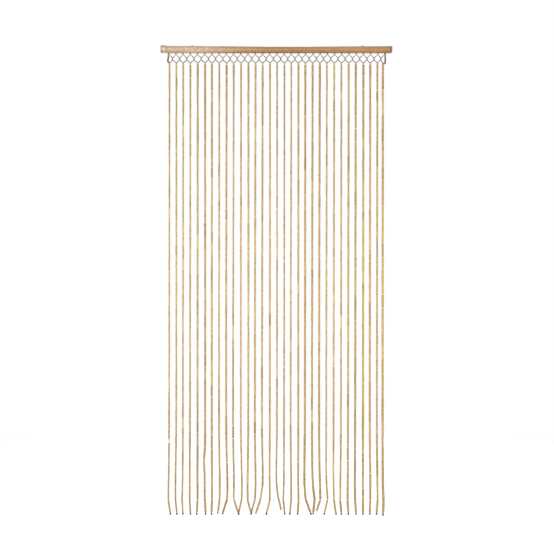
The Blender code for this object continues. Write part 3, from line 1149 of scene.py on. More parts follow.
@dataclass(frozen=True)
class Rail:
    """The split bamboo rail, with the twines' holes below and the hanger plates' pockets behind."""

    finish: RailBamboo
    hangers: tuple["HangerPlate", ...]
    lip: float = 4.0 * MM
    squareness: float = 0.72
    arc_steps: int = 36
    fine_step: float = 0.5 * MM
    coarse_step: float = 6.0 * MM
    fewest_steps: int = 4
    wave: float = 0.12 * MM
    wave_turns: tuple[float, float] = (61.0, 23.0)  # radians a metre
    worn: float = 1.2 * MM
    underside: float = -14.0 * MM
    hole_width: float = 8.4 * MM
    hole_thickness: float = 4.8 * MM
    hole_depth: float = 9.0 * MM
    hole_arc_steps: int = 10

    def stations(self) -> list[RailSection]:
        """Sections close together along the rail, eased between those of the table.

        Returns:
            The sections.
        """
        rows = []
        last = len(RAIL_SECTIONS) - 2
        for number, (first, second) in enumerate(zip(RAIL_SECTIONS, RAIL_SECTIONS[1:])):
            gap = (second.x - first.x) * MM
            step = self.fine_step if gap < 2 * self.coarse_step else self.coarse_step
            count = max(self.fewest_steps, math.ceil(gap / step))
            for part in range(count):
                t = part / count
                ease = t * t * (3 - 2 * t)
                if number == 0:
                    ease = math.sin(math.pi / 2 * t)
                if number == last:
                    ease = 1 - math.cos(math.pi / 2 * t)
                middle = [a + (b - a) * ease for a, b in zip(first[1:], second[1:])]
                rows.append(RailSection(first.x + (second.x - first.x) * t, *middle))
        rows.append(RAIL_SECTIONS[-1])
        return rows

    def outline(self, section: RailSection) -> np.ndarray:
        """One section, from the back's lower edge round the front to its upper edge.

        Args:
            section: the section's sizes.

        Returns:
            Its points.
        """
        middle = (section.low + section.high) / 2 * MM
        half = (section.high - section.low) / 2 * MM
        reach = section.depth * MM - self.lip
        x = section.x * MM
        angles = math.pi * (np.arange(self.arc_steps + 1) / self.arc_steps - 0.5)
        cosine, sine = np.cos(angles).clip(0), np.sin(angles)
        one, other = self.wave_turns
        uneven = self.wave * np.sin(x * one + 2 * sine) * np.cos(x * other - sine) * cosine
        forward = self.lip + reach * cosine**self.squareness + uneven
        up = middle + half * np.sign(sine) * np.abs(sine) ** self.squareness
        arc = np.stack([np.full_like(up, x), -forward, up], axis=-1)
        low = [(x, 0.0, section.low * MM + self.worn), (x, -self.worn, section.low * MM)]
        high = [(x, -self.worn, section.high * MM), (x, 0.0, section.high * MM - self.worn)]
        return np.concatenate([low, arc, high])

    def holes(self) -> bpy.types.Object:
        """Makes the shape of the twines' holes, each with round ends.

        Returns:
            The shape, to be cut out of the rail.
        """
        radius = self.hole_thickness / 2
        straight = self.hole_width / 2 - radius
        turns = math.pi * np.arange(self.hole_arc_steps + 1) / self.hole_arc_steps
        half = np.stack([straight + radius * np.sin(turns), radius * np.cos(turns)], axis=-1)
        outline = np.concatenate([half, -half])
        ring = np.column_stack([outline, np.zeros(len(outline))])
        depth = np.array([0.0, 0.0, self.hole_depth])
        loft = Loft("Twine holes")
        for index in range(HOLE_COUNT):
            middle = np.array([FIRST_HOLE + HOLE_PITCH * index, CURTAIN_PLANE, self.underside])
            loft.add(np.stack([ring + middle - depth, ring + middle + depth]), Closing.CAPS)
        return loft.build(self.finish, Sharp.CUT)

    def build(self) -> list[bpy.types.Object]:
        """Makes the rail and cuts its holes and pockets.

        Returns:
            The rail.
        """
        loft = Loft("rail_bamboo")
        loft.add(np.stack([self.outline(section) for section in self.stations()]), Closing.CAPS)
        rail = loft.build(self.finish, Sharp.RAIL)
        cutters = [self.holes()]
        for hanger in self.hangers:
            cutters += hanger.pocket()
        cut(rail, cutters)
        smooth(rail.data, Sharp.RAIL)
        return [fasten(rail, Slot.RAIL, "rail")]


# Hanger plates


@dataclass(frozen=True)
class HangerPlate:
    """One hanger plate in the rail's back, with its eye over a nail's recess and one sunk screw."""

    side: Side
    x: float
    rail_top: float
    finish: DullSteel
    eye_below_top: float = 1.6 * MM
    head_radius: float = 6.2 * MM
    eye_radius: float = 3.6 * MM
    width: float = 8.0 * MM
    tail: float = 21.0 * MM
    corner: float = 1.2 * MM
    thickness: float = 1.5 * MM
    edge: float = 0.25 * MM
    edge_steps: int = 2
    weld: float = 0.01 * MM
    gap: float = 0.3 * MM
    arc_steps: int = 40
    recess_radius: float = 4.8 * MM
    recess_depth: float = 5.6 * MM
    screw_below_eye: float = 14.0 * MM
    screw_radius: float = 2.3 * MM
    screw_play: float = 0.15 * MM
    slot_width: float = 0.7 * MM
    slot_depth: float = 0.9 * MM
    slot_length: float = 1.3  # as a share of the screw's radius
    slot_turn: float = 0.5  # radians

    @property
    def name(self) -> str:
        """The name of the solid that the plate stands for."""
        return f"hanger_{self.side.name.lower()}"

    @property
    def eye_height(self) -> float:
        """The height of the eye's middle."""
        return self.rail_top - self.eye_below_top

    def outline(self, grow: float) -> list[tuple[float, float]]:
        """The plate's outline round its eye: a round head with a straight tail.

        Args:
            grow: how much larger than the plate it is.

        Returns:
            Its points, across and up.
        """
        head = self.head_radius + grow
        half = self.width / 2 + grow
        neck = math.asin(half / head)
        turn = 2 * (math.pi - neck)
        first = neck - math.pi / 2
        angles = [first + turn * step / self.arc_steps for step in range(self.arc_steps + 1)]
        head_points = [(head * math.cos(angle), head * math.sin(angle)) for angle in angles]
        foot = -self.tail - grow
        tail = [(-half, foot + self.corner), (self.corner - half, foot)]
        return [*head_points, *tail, *[(-across, up) for across, up in reversed(tail)]]

    def hole(self, radius: float, height: float) -> list[tuple[float, float]]:
        """A round hole's outline, drawn the other way round from the plate's.

        Args:
            radius: its radius.
            height: its height from the eye.

        Returns:
            Its points, across and up.
        """
        turns = [2 * math.pi * step / self.arc_steps for step in range(self.arc_steps)]
        return [(radius * math.cos(turn), height - radius * math.sin(turn)) for turn in turns]

    def plate(
        self, name: str, outlines: list[list[tuple[float, float]]], edge: float, reach: float
    ) -> bpy.types.Object:
        """A flat shape in the rail's back, drawn as a filled curve and made a mesh.

        Args:
            name: the object's name.
            outlines: the outline, then its holes.
            edge: the radius of its rounded edges.
            reach: how far its front and back lie from its middle.

        Returns:
            The object, whose middle lies half the plate's thickness before the rail's back.
        """
        curve = bpy.data.curves.new(name, "CURVE")
        curve.dimensions = "2D"
        curve.fill_mode = "BOTH"
        curve.extrude = reach - edge
        curve.bevel_depth = edge
        curve.offset = -edge
        curve.bevel_resolution = self.edge_steps
        for outline in outlines:
            spline = curve.splines.new("POLY")
            spline.points.add(len(outline) - 1)
            for point, (across, up) in zip(spline.points, outline):
                point.co = (across, up, 0.0, 1.0)
            spline.use_cyclic_u = True
        drawn = new_object(name, curve)
        drawn.rotation_euler.x = math.pi / 2
        drawn.location = (self.x, -self.thickness / 2, self.eye_height)
        mesh = baked_mesh(drawn)
        mesh.transform(drawn.matrix_world)
        bpy.data.objects.remove(drawn)
        rework(mesh, lambda bm: bmesh.ops.remove_doubles(bm, verts=bm.verts, dist=self.weld))
        return finished_object(name, mesh, self.finish, Sharp.CUT)

    def pocket(self) -> list[bpy.types.Object]:
        """Makes the shapes of the plate's pocket and of the recess behind its eye.

        Returns:
            The two shapes, to be cut out of the rail.
        """
        outlines = [self.outline(self.gap)]
        pocket = self.plate(self.name + "_pocket", outlines, 0.0, self.thickness + self.gap)
        pocket.data.transform(Matrix.Translation((0.0, self.thickness / 2, 0.0)))
        recess = Loft(self.name + "_recess")
        ring = circle(self.arc_steps) * self.recess_radius
        ring = np.column_stack([ring[:, 0], np.zeros(len(ring)), ring[:, 1]])
        ring = ring + (self.x, 0.0, self.eye_height)
        depth = np.array([0.0, self.recess_depth, 0.0])
        recess.add(np.stack([ring - depth, ring + depth]), Closing.CAPS)
        return [pocket, recess.build(self.finish, Sharp.CUT)]

    def screw(self) -> bpy.types.Object:
        """Makes the sunk screw's head, with a cross slot.

        Returns:
            The head.
        """
        radius = self.screw_radius
        # From the sunk end to the face: the radius, and in millimetres the depth in the rail's back
        profile = (
            (radius * 0.45, 1.3),
            (radius * 0.9, 0.5),
            (radius, 0.3),
            (radius - self.edge * 0.4, 0.12),
            (radius * 0.5, 0.08),
        )
        ring = circle(self.arc_steps)
        flat = np.ones(len(ring))
        middle = np.array([self.x, 0.0, self.eye_height - self.screw_below_eye])
        rings = [
            np.column_stack([ring[:, 0] * reach, -depth * MM * flat, ring[:, 1] * reach]) + middle
            for reach, depth in profile
        ]
        loft = Loft(f"{self.name}_screw")
        loft.add(np.stack(rings), Closing.CAPS)
        head = loft.build(self.finish, Sharp.CUT)
        size = (self.slot_length * radius, self.slot_depth, self.slot_width)
        slots = []
        for angle in (self.slot_turn, self.slot_turn + math.pi / 2):
            block = bpy.data.meshes.new("Slot")
            rework(block, lambda bm: bmesh.ops.create_cube(bm, size=1.0))
            rework(block, lambda bm: bmesh.ops.scale(bm, vec=size, verts=bm.verts))
            slot = new_object("Slot", block)
            slot.rotation_euler.y = angle
            slot.location = middle
            slots.append(slot)
        cut(head, slots)
        return fasten(head, Slot.STEEL)

    def build(self) -> list[bpy.types.Object]:
        """Makes the plate and its screw.

        Returns:
            The two pieces.
        """
        screw_hole = self.hole(self.screw_radius + self.screw_play, -self.screw_below_eye)
        outlines = [self.outline(0.0), self.hole(self.eye_radius, 0.0), screw_hole]
        plate = self.plate(self.name + "_plate", outlines, self.edge, self.thickness / 2)
        return [fasten(plate, Slot.STEEL, self.name), self.screw()]


# Twine


CLEAN = np.array([0.0, 0.0, 0.0])
GRIMY = np.array([1.0, 0.0, 0.0])


@dataclass(frozen=True)
class TwineMaker:
    """Makes twine of two plies along a path."""

    radius: float = 1.95 * MM
    ply_aside: float = 0.5  # each ply's place and radius are shares of the twine's radius
    ply_radius: float = 0.53
    lay: float = 9.5 * MM  # the length in which the plies turn once
    sides: int = 7
    step: float = 0.95 * MM
    fibre_twist: float = 900.0  # radians a metre at which fibres wind round a ply
    fibre_gap: float = 37.0  # what parts one twine's fibres from the next one's
    core_sides: int = 12
    groove: float = 0.34

    def fibres(self, path: np.ndarray, sides: int, start: float) -> np.ndarray:
        """The fibre mark of a skin's points: the place round the ply, and along it in millimetres.

        Args:
            path: the ply's middle line.
            sides: the points of a ring.
            start: sets these fibres apart from another ply's.

        Returns:
            A vector for every point.
        """
        lengths = lengths_along(path)
        turns = 2 * math.pi * np.arange(sides) / sides
        angles = turns[None, :] + lengths[:, None] * self.fibre_twist
        along = np.broadcast_to(lengths[:, None] / MM + start, angles.shape)
        return np.stack([np.cos(angles), np.sin(angles), along], axis=-1)

    def lay_plies(
        self, loft: Loft, path: np.ndarray, scale: np.ndarray | float, start: float
    ) -> None:
        """Adds two round plies that wind about a path.

        Args:
            loft: the mesh that they go to.
            path: the twine's middle line.
            scale: the twine's thickness at each point of the path, 1 for its full one.
            start: sets this twine's fibres apart from another's.
        """
        across, square = cross_axes(path)
        lengths = lengths_along(path)
        scale = np.broadcast_to(scale, len(path))
        for phase in (0.0, math.pi):
            angles = 2 * math.pi * lengths / self.lay + phase + start
            aside = np.cos(angles)[:, None] * across + np.sin(angles)[:, None] * square
            ply = path + aside * (self.radius * self.ply_aside * scale)[:, None]
            radius = (self.radius * self.ply_radius * scale)[:, None, None]
            fibre = self.fibres(ply, self.sides, start * self.fibre_gap + phase)
            rings = swept(ply, circle(self.sides)[None] * radius)
            loft.add(rings, Closing.CAPS, fibre=fibre, wear=CLEAN)

    def lay_core(
        self, loft: Loft, path: np.ndarray, radius: float, start: float, lay: float, wear: np.ndarray
    ) -> None:
        """Adds twine as one skin with two lobes that wind along it, for where it is thin.

        Args:
            loft: the mesh that it goes to.
            path: its middle line.
            radius: its radius over both plies.
            start: sets this twine's fibres apart from another's.
            lay: the length in which the plies turn once.
            wear: the mark of how grimy it is.
        """
        lengths = lengths_along(path)
        base = circle(self.core_sides)
        lobes = base * np.maximum(np.abs(base[:, :1]), self.groove) * radius
        angles = 2 * math.pi * lengths / lay + start
        cosine, sine = np.cos(angles)[:, None], np.sin(angles)[:, None]
        one, other = lobes[None, :, 0], lobes[None, :, 1]
        sections = np.stack([one * cosine - other * sine, one * sine + other * cosine], axis=-1)
        fibre = self.fibres(path, self.core_sides, start * self.fibre_gap)
        loft.add(swept(path, sections), Closing.CAPS, fibre=fibre, wear=wear)


@dataclass(frozen=True)
class Net:
    """One row of diamonds: each hole's twines part, cross their neighbours and meet at knots."""

    finish: PlantTwine
    twine: TwineMaker = TwineMaker()
    twine_top: float = -6.0 * MM
    spread: float = 1.4 * MM
    hole_slack: float = 0.6 * MM
    stagger: float = 0.5 * MM
    crowded: float = 1.3 * MM
    part_height: float = -20.6 * MM
    crossing_height: float = -38.3 * MM
    crossing_length: float = 8.8 * MM
    crossing_depth: float = 1.9 * MM
    crossing_spread: float = 0.8 * MM
    edge_spread: float = 1.7 * MM
    edge_closed: float = 0.3 * MM
    edge_closing: tuple[float, float] = mm(0.5, 4.0)  # from the knot's middle
    edge_opening: tuple[float, float] = mm(-24.0, -17.0)  # heights
    # The edge twines' bends, across and up
    left_edge: tuple[tuple[float, float], ...] = (
        (-456.0, -22.0),
        (-455.6, -28.0),
        (-457.0, -38.0),
        (-458.8, -45.5),
        (-456.8, -51.0),
        (-453.2, -55.4),
    )
    right_edge: tuple[tuple[float, float], ...] = (
        (459.2, -24.0),
        (459.3, -44.0),
        (459.2, -53.4),
        (458.8, -57.4),
        (455.4, -58.6),
    )
    meeting_height: float = -55.8 * MM
    # Heights, and the twine's thickness there as a share of its full one
    thickness: tuple[tuple[float, float], ...] = (
        (-56.5, 0.92),
        (-52.0, 1.12),
        (-28.0, 1.0),
        (-19.0, 0.72),
    )
    knot_middle: float = -56.2 * MM
    knot_radius: float = 2.0 * MM
    knot_narrowing: float = 0.35
    knot_turns: float = 2.1
    knot_steps: int = 52
    knot_rise: float = 3.6 * MM
    knot_lean: float = 0.25
    knot_lay: float = 5.5 * MM
    knot_twine: float = 1.1 * MM
    # How far apart neighbouring twines, edge twines and knots start in their lay and fibres
    twine_start: float = 1.7
    edge_start: float = 90.0
    knot_start: float = 2.3

    def hole_x(self, index: int) -> float:
        """Where a hole's twines lie along the rail."""
        return FIRST_HOLE + HOLE_PITCH * index + self.hole_slack

    def crossing_x(self, index: int) -> float:
        """Where the twines of two neighbouring holes cross.

        Args:
            index: the left hole's number.

        Returns:
            The place along the rail.
        """
        between_holes = (self.hole_x(index) + self.hole_x(index + 1)) / 2
        between_strings = (STRINGS[index].hang + STRINGS[index + 1].hang) / 2 * MM
        return (between_holes + between_strings) / 2

    def lay(self, loft: Loft, path: np.ndarray, start: float) -> None:
        """Lays one twine, thinner in its hole and where it goes into its knot.

        Args:
            loft: the mesh that it goes to.
            path: its middle line.
            start: sets its fibres apart from another's.
        """
        heights, shares = zip(*self.thickness)
        self.twine.lay_plies(loft, path, np.interp(path[:, 2] / MM, heights, shares), start)

    def inner_twine(self, loft: Loft, index: int, side: Side) -> None:
        """Lays a twine from a hole, across its neighbour's, to the neighbouring string's knot.

        Args:
            loft: the mesh that it goes to.
            index: the hole's number.
            side: which way it leans.
        """
        way = side.value
        top = self.hole_x(index) + way * self.spread
        if index in (0, HOLE_COUNT - 1):
            top += way * self.crowded
        middle = self.crossing_x(index if side is Side.RIGHT else index - 1)
        knot = STRINGS[index + way].hang * MM
        plane = CURTAIN_PLANE
        back = plane + way * self.stagger
        over = plane + way * self.crossing_depth
        half = self.crossing_length / 2
        aside = way * self.crossing_spread
        route = [
            (top, back, self.twine_top),
            (top, back, self.part_height + 2 * MM),
            (top, back, self.part_height),
            (middle - aside, plane, self.crossing_height + half),
            (middle - aside * 0.9, over, self.crossing_height + half * 0.4),
            (middle + aside * 0.9, over, self.crossing_height - half * 0.4),
            (middle + aside, plane, self.crossing_height - half),
            (knot - way * 1.3 * MM, plane + way * 0.5 * MM, self.meeting_height + 1 * MM),
            (knot - way * 0.7 * MM, plane + way * 0.4 * MM, self.meeting_height - 1.5 * MM),
        ]
        self.lay(loft, evenly(softened(route), self.twine.step), index * self.twine_start + way)

    def edge_twines(self, loft: Loft, side: Side) -> None:
        """Lays the two twines that run side by side beyond the first or the last string.

        Args:
            loft: the mesh that they go to.
            side: which end of the rail.
        """
        way = side.value
        index, bends = (0, self.left_edge) if side is Side.LEFT else (HOLE_COUNT - 1, self.right_edge)
        top = self.hole_x(index) + way * self.crowded
        knot = STRINGS[index].hang * MM
        route = [(top, self.twine_top), (top, self.part_height + 2 * MM)]
        route += [(x * MM, z * MM) for x, z in bends]
        route.append((knot + way * 0.4 * MM, self.meeting_height - 1.5 * MM))
        path = evenly(softened([(x, CURTAIN_PLANE, z) for x, z in route]), self.twine.step)
        tangents = unit(np.gradient(path, axis=0))
        aside = np.stack([tangents[:, 2], np.zeros(len(path)), -tangents[:, 0]], axis=-1)
        wide = self.edge_spread
        apart = np.interp(abs(path[:, 0] - knot), self.edge_closing, [self.edge_closed, wide])
        in_hole = np.interp(path[:, 2], self.edge_opening, [wide, self.spread])
        apart = np.minimum(apart, in_hole)
        for number in (-1, 1):
            start = self.edge_start + 2 * way + number
            self.lay(loft, path + number * apart[:, None] * aside, start)

    def head_knot(self, loft: Loft, index: int) -> None:
        """Makes the knot at a string's head, the twines' own turns about it.

        Args:
            loft: the mesh that it goes to.
            index: the string's number.
        """
        draw = Chance.HEAD_KNOT.source(index)
        lean = draw.uniform(-self.knot_lean, self.knot_lean)
        share = np.arange(self.knot_steps) / (self.knot_steps - 1)
        angles = 2 * math.pi * (self.knot_turns * share + draw.random())
        reach = self.knot_radius * (1 - self.knot_narrowing * np.abs(2 * share - 1) ** 3)
        across, deep = reach * np.cos(angles), reach * np.sin(angles)
        up = self.knot_rise * (0.5 - share) + lean * across
        middle = np.array([STRINGS[index].hang * MM, CURTAIN_PLANE, self.knot_middle])
        path = np.stack([across, deep, up], axis=-1) + middle
        start = index * self.knot_start
        self.twine.lay_core(loft, path, self.knot_twine, start, self.knot_lay, CLEAN)

    def build(self) -> list[bpy.types.Object]:
        """Makes the net.

        Returns:
            The net.
        """
        loft = Loft("net_twine")
        for index in range(HOLE_COUNT):
            if index > 0:
                self.inner_twine(loft, index, Side.LEFT)
            if index < HOLE_COUNT - 1:
                self.inner_twine(loft, index, Side.RIGHT)
            self.head_knot(loft, index)
        for side in Side:
            self.edge_twines(loft, side)
        return [fasten(loft.build(self.finish, Sharp.TWINE), Slot.TWINE, "strings")]


@dataclass(frozen=True)
class StringTwine:
    """The twine inside the tubes, which shows between them, and the knots at the strings' feet."""

    finish: PlantTwine
    twine: TwineMaker = TwineMaker()
    radius: float = 1.25 * MM
    lay: float = 6.0 * MM
    twine_start: float = 3.1  # how far apart neighbouring strings start in their lay and fibres
    knot_start: float = 1.9
    knot_twine: float = 1.7 * MM
    knot_steps: int = 72
    knot_reach: float = 1.18
    knot_height: float = 1.1
    knot_core: float = 0.64
    knot_drop: float = 1.4 * MM
    knot_lean: float = 0.2
    gap_step: float = 1.2 * MM
    gap_reach: float = 2.4 * MM
    end_inside: float = 1.5 * MM
    fray_count: int = 9
    fray_sides: int = 3
    fray_steps: int = 4
    fray_radius: float = 0.16 * MM
    fray_taper: float = 0.6  # how much thinner a hair is at its tip, as a share
    fray_length: float = 3.2 * MM
    fray_shortest: float = 0.6
    fray_lean: float = 0.45
    fray_root: float = 0.7 * MM
    fray_below: float = 0.9  # how low on the knot the hairs start, as a share of its reach
    fray_bend: float = 0.3
    fray_fibres: float = 50.0  # how far apart the hairs' fibres start at most

    def core_heights(self, line: StringLine) -> list[float]:
        """The heights of the rings of a string's twine, close together where it shows.

        Args:
            line: the string's line.

        Returns:
            The heights, from the top down.
        """
        heights = [KNOT_HEIGHT]
        for run in line.joints():
            for edge in run:
                heights += even_heights(edge + self.gap_reach, edge - self.gap_reach, self.gap_step)
        if line.index in BARE_SPANS:
            heights += even_heights(*BARE_SPANS[line.index], self.gap_step)[1:-1]
        last = line.foot if line.row.knot else line.tubes_end + self.end_inside
        heights = sorted({height for height in heights if height > last}, reverse=True)
        return [*heights, last]

    def foot_knot(self, loft: Loft, line: StringLine) -> None:
        """Makes a string's foot: a knot pulled tight and the twine's short frayed end.

        Args:
            loft: the mesh that it goes to.
            line: the string's line.
        """
        draw = Chance.FOOT_KNOT.source(line.index)
        reach = self.knot_reach * line.row.knot * MM
        middle = line.point(line.foot - self.knot_drop)
        t = 2 * math.pi * np.arange(self.knot_steps + 1) / self.knot_steps
        turn = draw.uniform(0.0, 2 * math.pi)
        inner = reach - self.knot_twine
        from_axis = inner * (self.knot_core + (1 - self.knot_core) * np.cos(3 * t))
        up = (self.knot_height * reach - self.knot_twine) * np.sin(3 * t)
        across, deep = from_axis * np.cos(2 * t + turn), from_axis * np.sin(2 * t + turn)
        across = across + draw.uniform(-self.knot_lean, self.knot_lean) * up
        path = np.stack([across, deep, up], axis=-1) + middle
        start = line.index * self.knot_start
        self.twine.lay_core(loft, path, self.knot_twine, start, self.lay, GRIMY)
        root_height = -self.fray_below * reach
        limits = ((self.fray_lean, -1.0), (self.fray_root, root_height), (self.fray_bend, 0.0))
        shares = np.linspace(0.0, 1.0, self.fray_steps + 1)[:, None]
        thinning = self.fray_radius * (1 - self.fray_taper * shares)
        section = circle(self.fray_sides)[None] * thinning[..., None]
        for _ in range(self.fray_count):
            lean, root, bend = (
                np.array([draw.uniform(-most, most), draw.uniform(-most, most), down])
                for most, down in limits
            )
            length = self.fray_length * draw.uniform(self.fray_shortest, 1.0)
            hair = middle + root + length * (lean * shares + bend * shares**2)
            fibre = self.twine.fibres(hair, self.fray_sides, draw.random() * self.fray_fibres)
            loft.add(swept(hair, section), Closing.CAPS, fibre=fibre, wear=GRIMY)

    def build(self) -> list[bpy.types.Object]:
        """Makes the twine of all strings.

        Returns:
            The twine.
        """
        loft = Loft("string_twine")
        for index in range(len(STRINGS)):
            line = StringLine(index)
            path = np.array([line.point(height) for height in self.core_heights(line)])
            start = index * self.twine_start
            self.twine.lay_core(loft, path, self.radius, start, self.lay, CLEAN)
            if line.row.knot:
                self.foot_knot(loft, line)
        return [fasten(loft.build(self.finish, Sharp.TWINE), Slot.TWINE, "strings")]


# Tubes


@dataclass(frozen=True)
class TubeKind:
    """A colour that bamboo comes in, and how many of a hundred tubes have it."""

    tone: Colour
    share: int


TUBE_KINDS = (
    TubeKind(paint(222, 188, 115), 34),
    TubeKind(paint(213, 176, 103), 20),
    TubeKind(paint(206, 180, 104), 19),
    TubeKind(paint(223, 178, 123), 17),
    TubeKind(paint(196, 158, 94), 5),
    TubeKind(paint(236, 207, 138), 5),
)


@dataclass(frozen=True)
class TubeStrings:
    """Neighbouring strings' bamboo tubes, each cut, bored and weathered a little differently."""

    first: int
    last: int
    finish: TubeBamboo
    sides: int = 16
    chamfer: float = 0.35 * MM
    bore: float = 0.42  # its radius as a share of the tube's
    tight_gap: float = 0.4 * MM
    wide_gap: float = 4.4 * MM
    bend_room: float = 0.36  # how far a tube stops short at a bend, as a share of its thickness
    swell: float = 0.05
    swell_places: tuple[float, ...] = (0.28, 0.5, 0.72)
    oval: float = 0.04
    bow: float = 0.35 * MM
    aside: float = 0.3 * MM
    end_reach: float = 2.8 * MM
    end_grime: tuple[float, float] = (0.1, 1.0)
    cut_edge: float = 0.3  # how much of the cut's colour shows on the chamfer
    ringed_share: float = 0.16
    ring_place: tuple[float, float] = (0.12, 0.88)
    ring_clear: float = 3.2 * MM
    # Along the tube from the ring's middle, out of its skin, and the mark ring
    ring_rows: tuple[tuple[float, float, float], ...] = (
        (-2.6, 0.0, 0.0),
        (-0.9, 0.38, 0.5),
        (0.0, 0.1, 1.0),
        (0.8, 0.33, 0.5),
        (2.2, 0.0, 0.0),
    )
    grain_length: float = 4000.0
    string_light: tuple[float, float] = (0.92, 1.08)
    tube_light: tuple[float, float] = (0.91, 1.1)
    dark_top: float = 0.24
    dark_foot: float = 0.3
    dark_length: float = 0.4  # the share of a string that is darker, at each end
    stout: tuple[float, float] = (1.13, 1.31)
    stout_top: float = 0.1
    stout_top_length: float = 0.06
    stout_foot: float = 0.08
    stout_foot_length: float = 0.3

    def tone(self, draw: random.Random, string_light: float, fall: float) -> np.ndarray:
        """A tube's colour.

        Args:
            draw: the string's source of chance.
            string_light: how light the string's tubes are beside the others.
            fall: how far down the string the tube is, from 0 to 1.

        Returns:
            The linear colour.
        """
        kind = draw.choices(TUBE_KINDS, [kind.share for kind in TUBE_KINDS])[0]
        shade = 1 - self.dark_top * nearness(fall, self.dark_length)
        shade -= self.dark_foot * nearness(1 - fall, self.dark_length)
        return np.array(kind.tone[:3]) * string_light * shade * draw.uniform(*self.tube_light)

    def profile(self, draw: random.Random, length: float, radius: float) -> np.ndarray:
        """A tube's rings as rows: distance from its top, radius, and the marks end, ring and cut.

        Args:
            draw: the string's source of chance.
            length: the tube's length.
            radius: its outer radius.

        Returns:
            The rows, down its outside and up its bore.
        """
        chamfer, reach, edge = self.chamfer, self.end_reach, self.cut_edge
        swell = [
            (length * place, radius * (1 + draw.uniform(-self.swell, self.swell)), 0.0, 0.0, 0.0)
            for place in self.swell_places
        ]
        top, foot = draw.uniform(*self.end_grime), draw.uniform(*self.end_grime)
        rows = [
            (0.0, radius - chamfer, top, 0.0, edge),
            (chamfer, radius, top, 0.0, 0.0),
            (reach, radius, 0.0, 0.0, 0.0),
            *swell,
            (length - reach, radius, 0.0, 0.0, 0.0),
            (length - chamfer, radius, foot, 0.0, 0.0),
            (length, radius - chamfer, foot, 0.0, edge),
        ]
        if draw.random() < self.ringed_share:
            middle = length * draw.uniform(*self.ring_place)
            clear = self.ring_clear
            rows = [row for row in rows if abs(row[0] - middle) > clear or row[0] in (0.0, length)]
            for place, ridge, mark in self.ring_rows:
                rows.append((middle + place * MM, radius + ridge * MM, 0.0, mark, 0.0))
            rows.sort(key=lambda row: row[0])
        bore = radius * self.bore
        rows += [(length, bore, 0.0, 0.0, 1.0), (0.0, bore, 0.0, 0.0, 1.0)]
        return np.array(rows)

    def add_tube(
        self, loft: Loft, draw: random.Random, ends: Sequence[np.ndarray], radius: float, tone: np.ndarray
    ) -> None:
        """Adds one tube.

        Args:
            loft: the mesh that it goes to.
            draw: the string's source of chance.
            ends: the string's line at the tube's top and bottom.
            radius: the tube's outer radius.
            tone: its colour.
        """
        top, bottom = ends
        length = float(np.linalg.norm(bottom - top))
        rows = self.profile(draw, length, radius)
        axis = (bottom - top) / length
        across = unit(np.cross(axis, np.array([0.0, 1.0, 0.0])))
        square = np.cross(axis, across)
        share = rows[:, 0] / length
        bow = self.bow * draw.uniform(-1.0, 1.0) * np.sin(math.pi * share)
        bow_turn = draw.uniform(0.0, 2 * math.pi)
        middle = top + rows[:, :1] * axis
        middle = middle + bow[:, None] * (math.cos(bow_turn) * across + math.sin(bow_turn) * square)
        flat = 1 + draw.uniform(-self.oval, self.oval)
        turn = draw.uniform(0.0, 2 * math.pi)
        angles = turn + 2 * math.pi * np.arange(self.sides) / self.sides
        reach = rows[:, 1][:, None]
        one, other = reach * np.cos(angles) * flat, reach * np.sin(angles) / flat
        rings = middle[:, None] + one[..., None] * across + other[..., None] * square
        start = draw.uniform(0.0, self.grain_length)
        along = np.broadcast_to(rows[:, :1] / MM + start, one.shape)
        grain = np.stack([one / MM, other / MM, along], axis=-1)
        wear = np.broadcast_to(rows[:, None, 2:], rings.shape)
        loft.add(rings, Closing.LOOP, grain=grain, wear=wear, tone=tone)

    def add_string(self, loft: Loft, index: int) -> None:
        """Adds one string's tubes.

        Args:
            loft: the mesh that they go to.
            index: the string's number.
        """
        line = StringLine(index)
        thickness = line.row.tube * MM
        draw = Chance.TUBES.source(index)
        string_light = draw.uniform(*self.string_light)
        for run in line.joints():
            places = [line.point(height) for height in run]
            ways = [unit(after - before) for before, after in zip(places, places[1:])]
            bends = [np.linalg.norm(after - before) for before, after in zip(ways, ways[1:])]
            room = [bend * self.bend_room * thickness for bend in (0.0, *bends, 0.0)]
            for number, (top, bottom) in enumerate(zip(run, run[1:])):
                gap = self.tight_gap + (self.wide_gap - self.tight_gap) * draw.random() ** 3
                ends = []
                for height in (top - gap / 2 - room[number], bottom + gap / 2 + room[number + 1]):
                    slip = [draw.uniform(-self.aside, self.aside) for _ in range(2)]
                    ends.append(line.point(height) + np.array([*slip, 0.0]))
                fall = (TUBES_START - (top + bottom) / 2) / (TUBES_START - FOOT_HEIGHT)
                stout = 1 + self.stout_top * nearness(fall, self.stout_top_length)
                stout += self.stout_foot * nearness(1 - fall, self.stout_foot_length)
                radius = thickness / 2 * stout * draw.uniform(*self.stout)
                self.add_tube(loft, draw, ends, radius, self.tone(draw, string_light, fall))

    def build(self) -> list[bpy.types.Object]:
        """Makes the strings' tubes as one piece.

        Returns:
            The tubes.
        """
        loft = Loft(f"tubes_{self.first + 1:02d}_{self.last + 1:02d}")
        for index in range(self.first, self.last + 1):
            self.add_string(loft, index)
        return [fasten(loft.build(self.finish, Sharp.TUBE), Slot.TUBES, "strings")]


# Studio


@dataclass(frozen=True)
class SoftLight:
    """A flat panel that gives soft light."""

    name: str
    place: tuple[float, float, float]
    aim: tuple[float, float, float]
    width: float
    height: float
    power: float

    def build(self) -> None:
        """Makes the light. The camera doesn't see its panel."""
        data = bpy.data.lights.new(self.name, "AREA")
        data.shape = "RECTANGLE"
        data.size = self.width
        data.size_y = self.height
        data.energy = self.power
        light = new_object(self.name, data)
        way = Vector(self.aim) - Vector(self.place)
        light.location = self.place
        light.rotation_mode = "QUATERNION"
        light.rotation_quaternion = way.to_track_quat("-Z", "Y")
        light.visible_camera = False


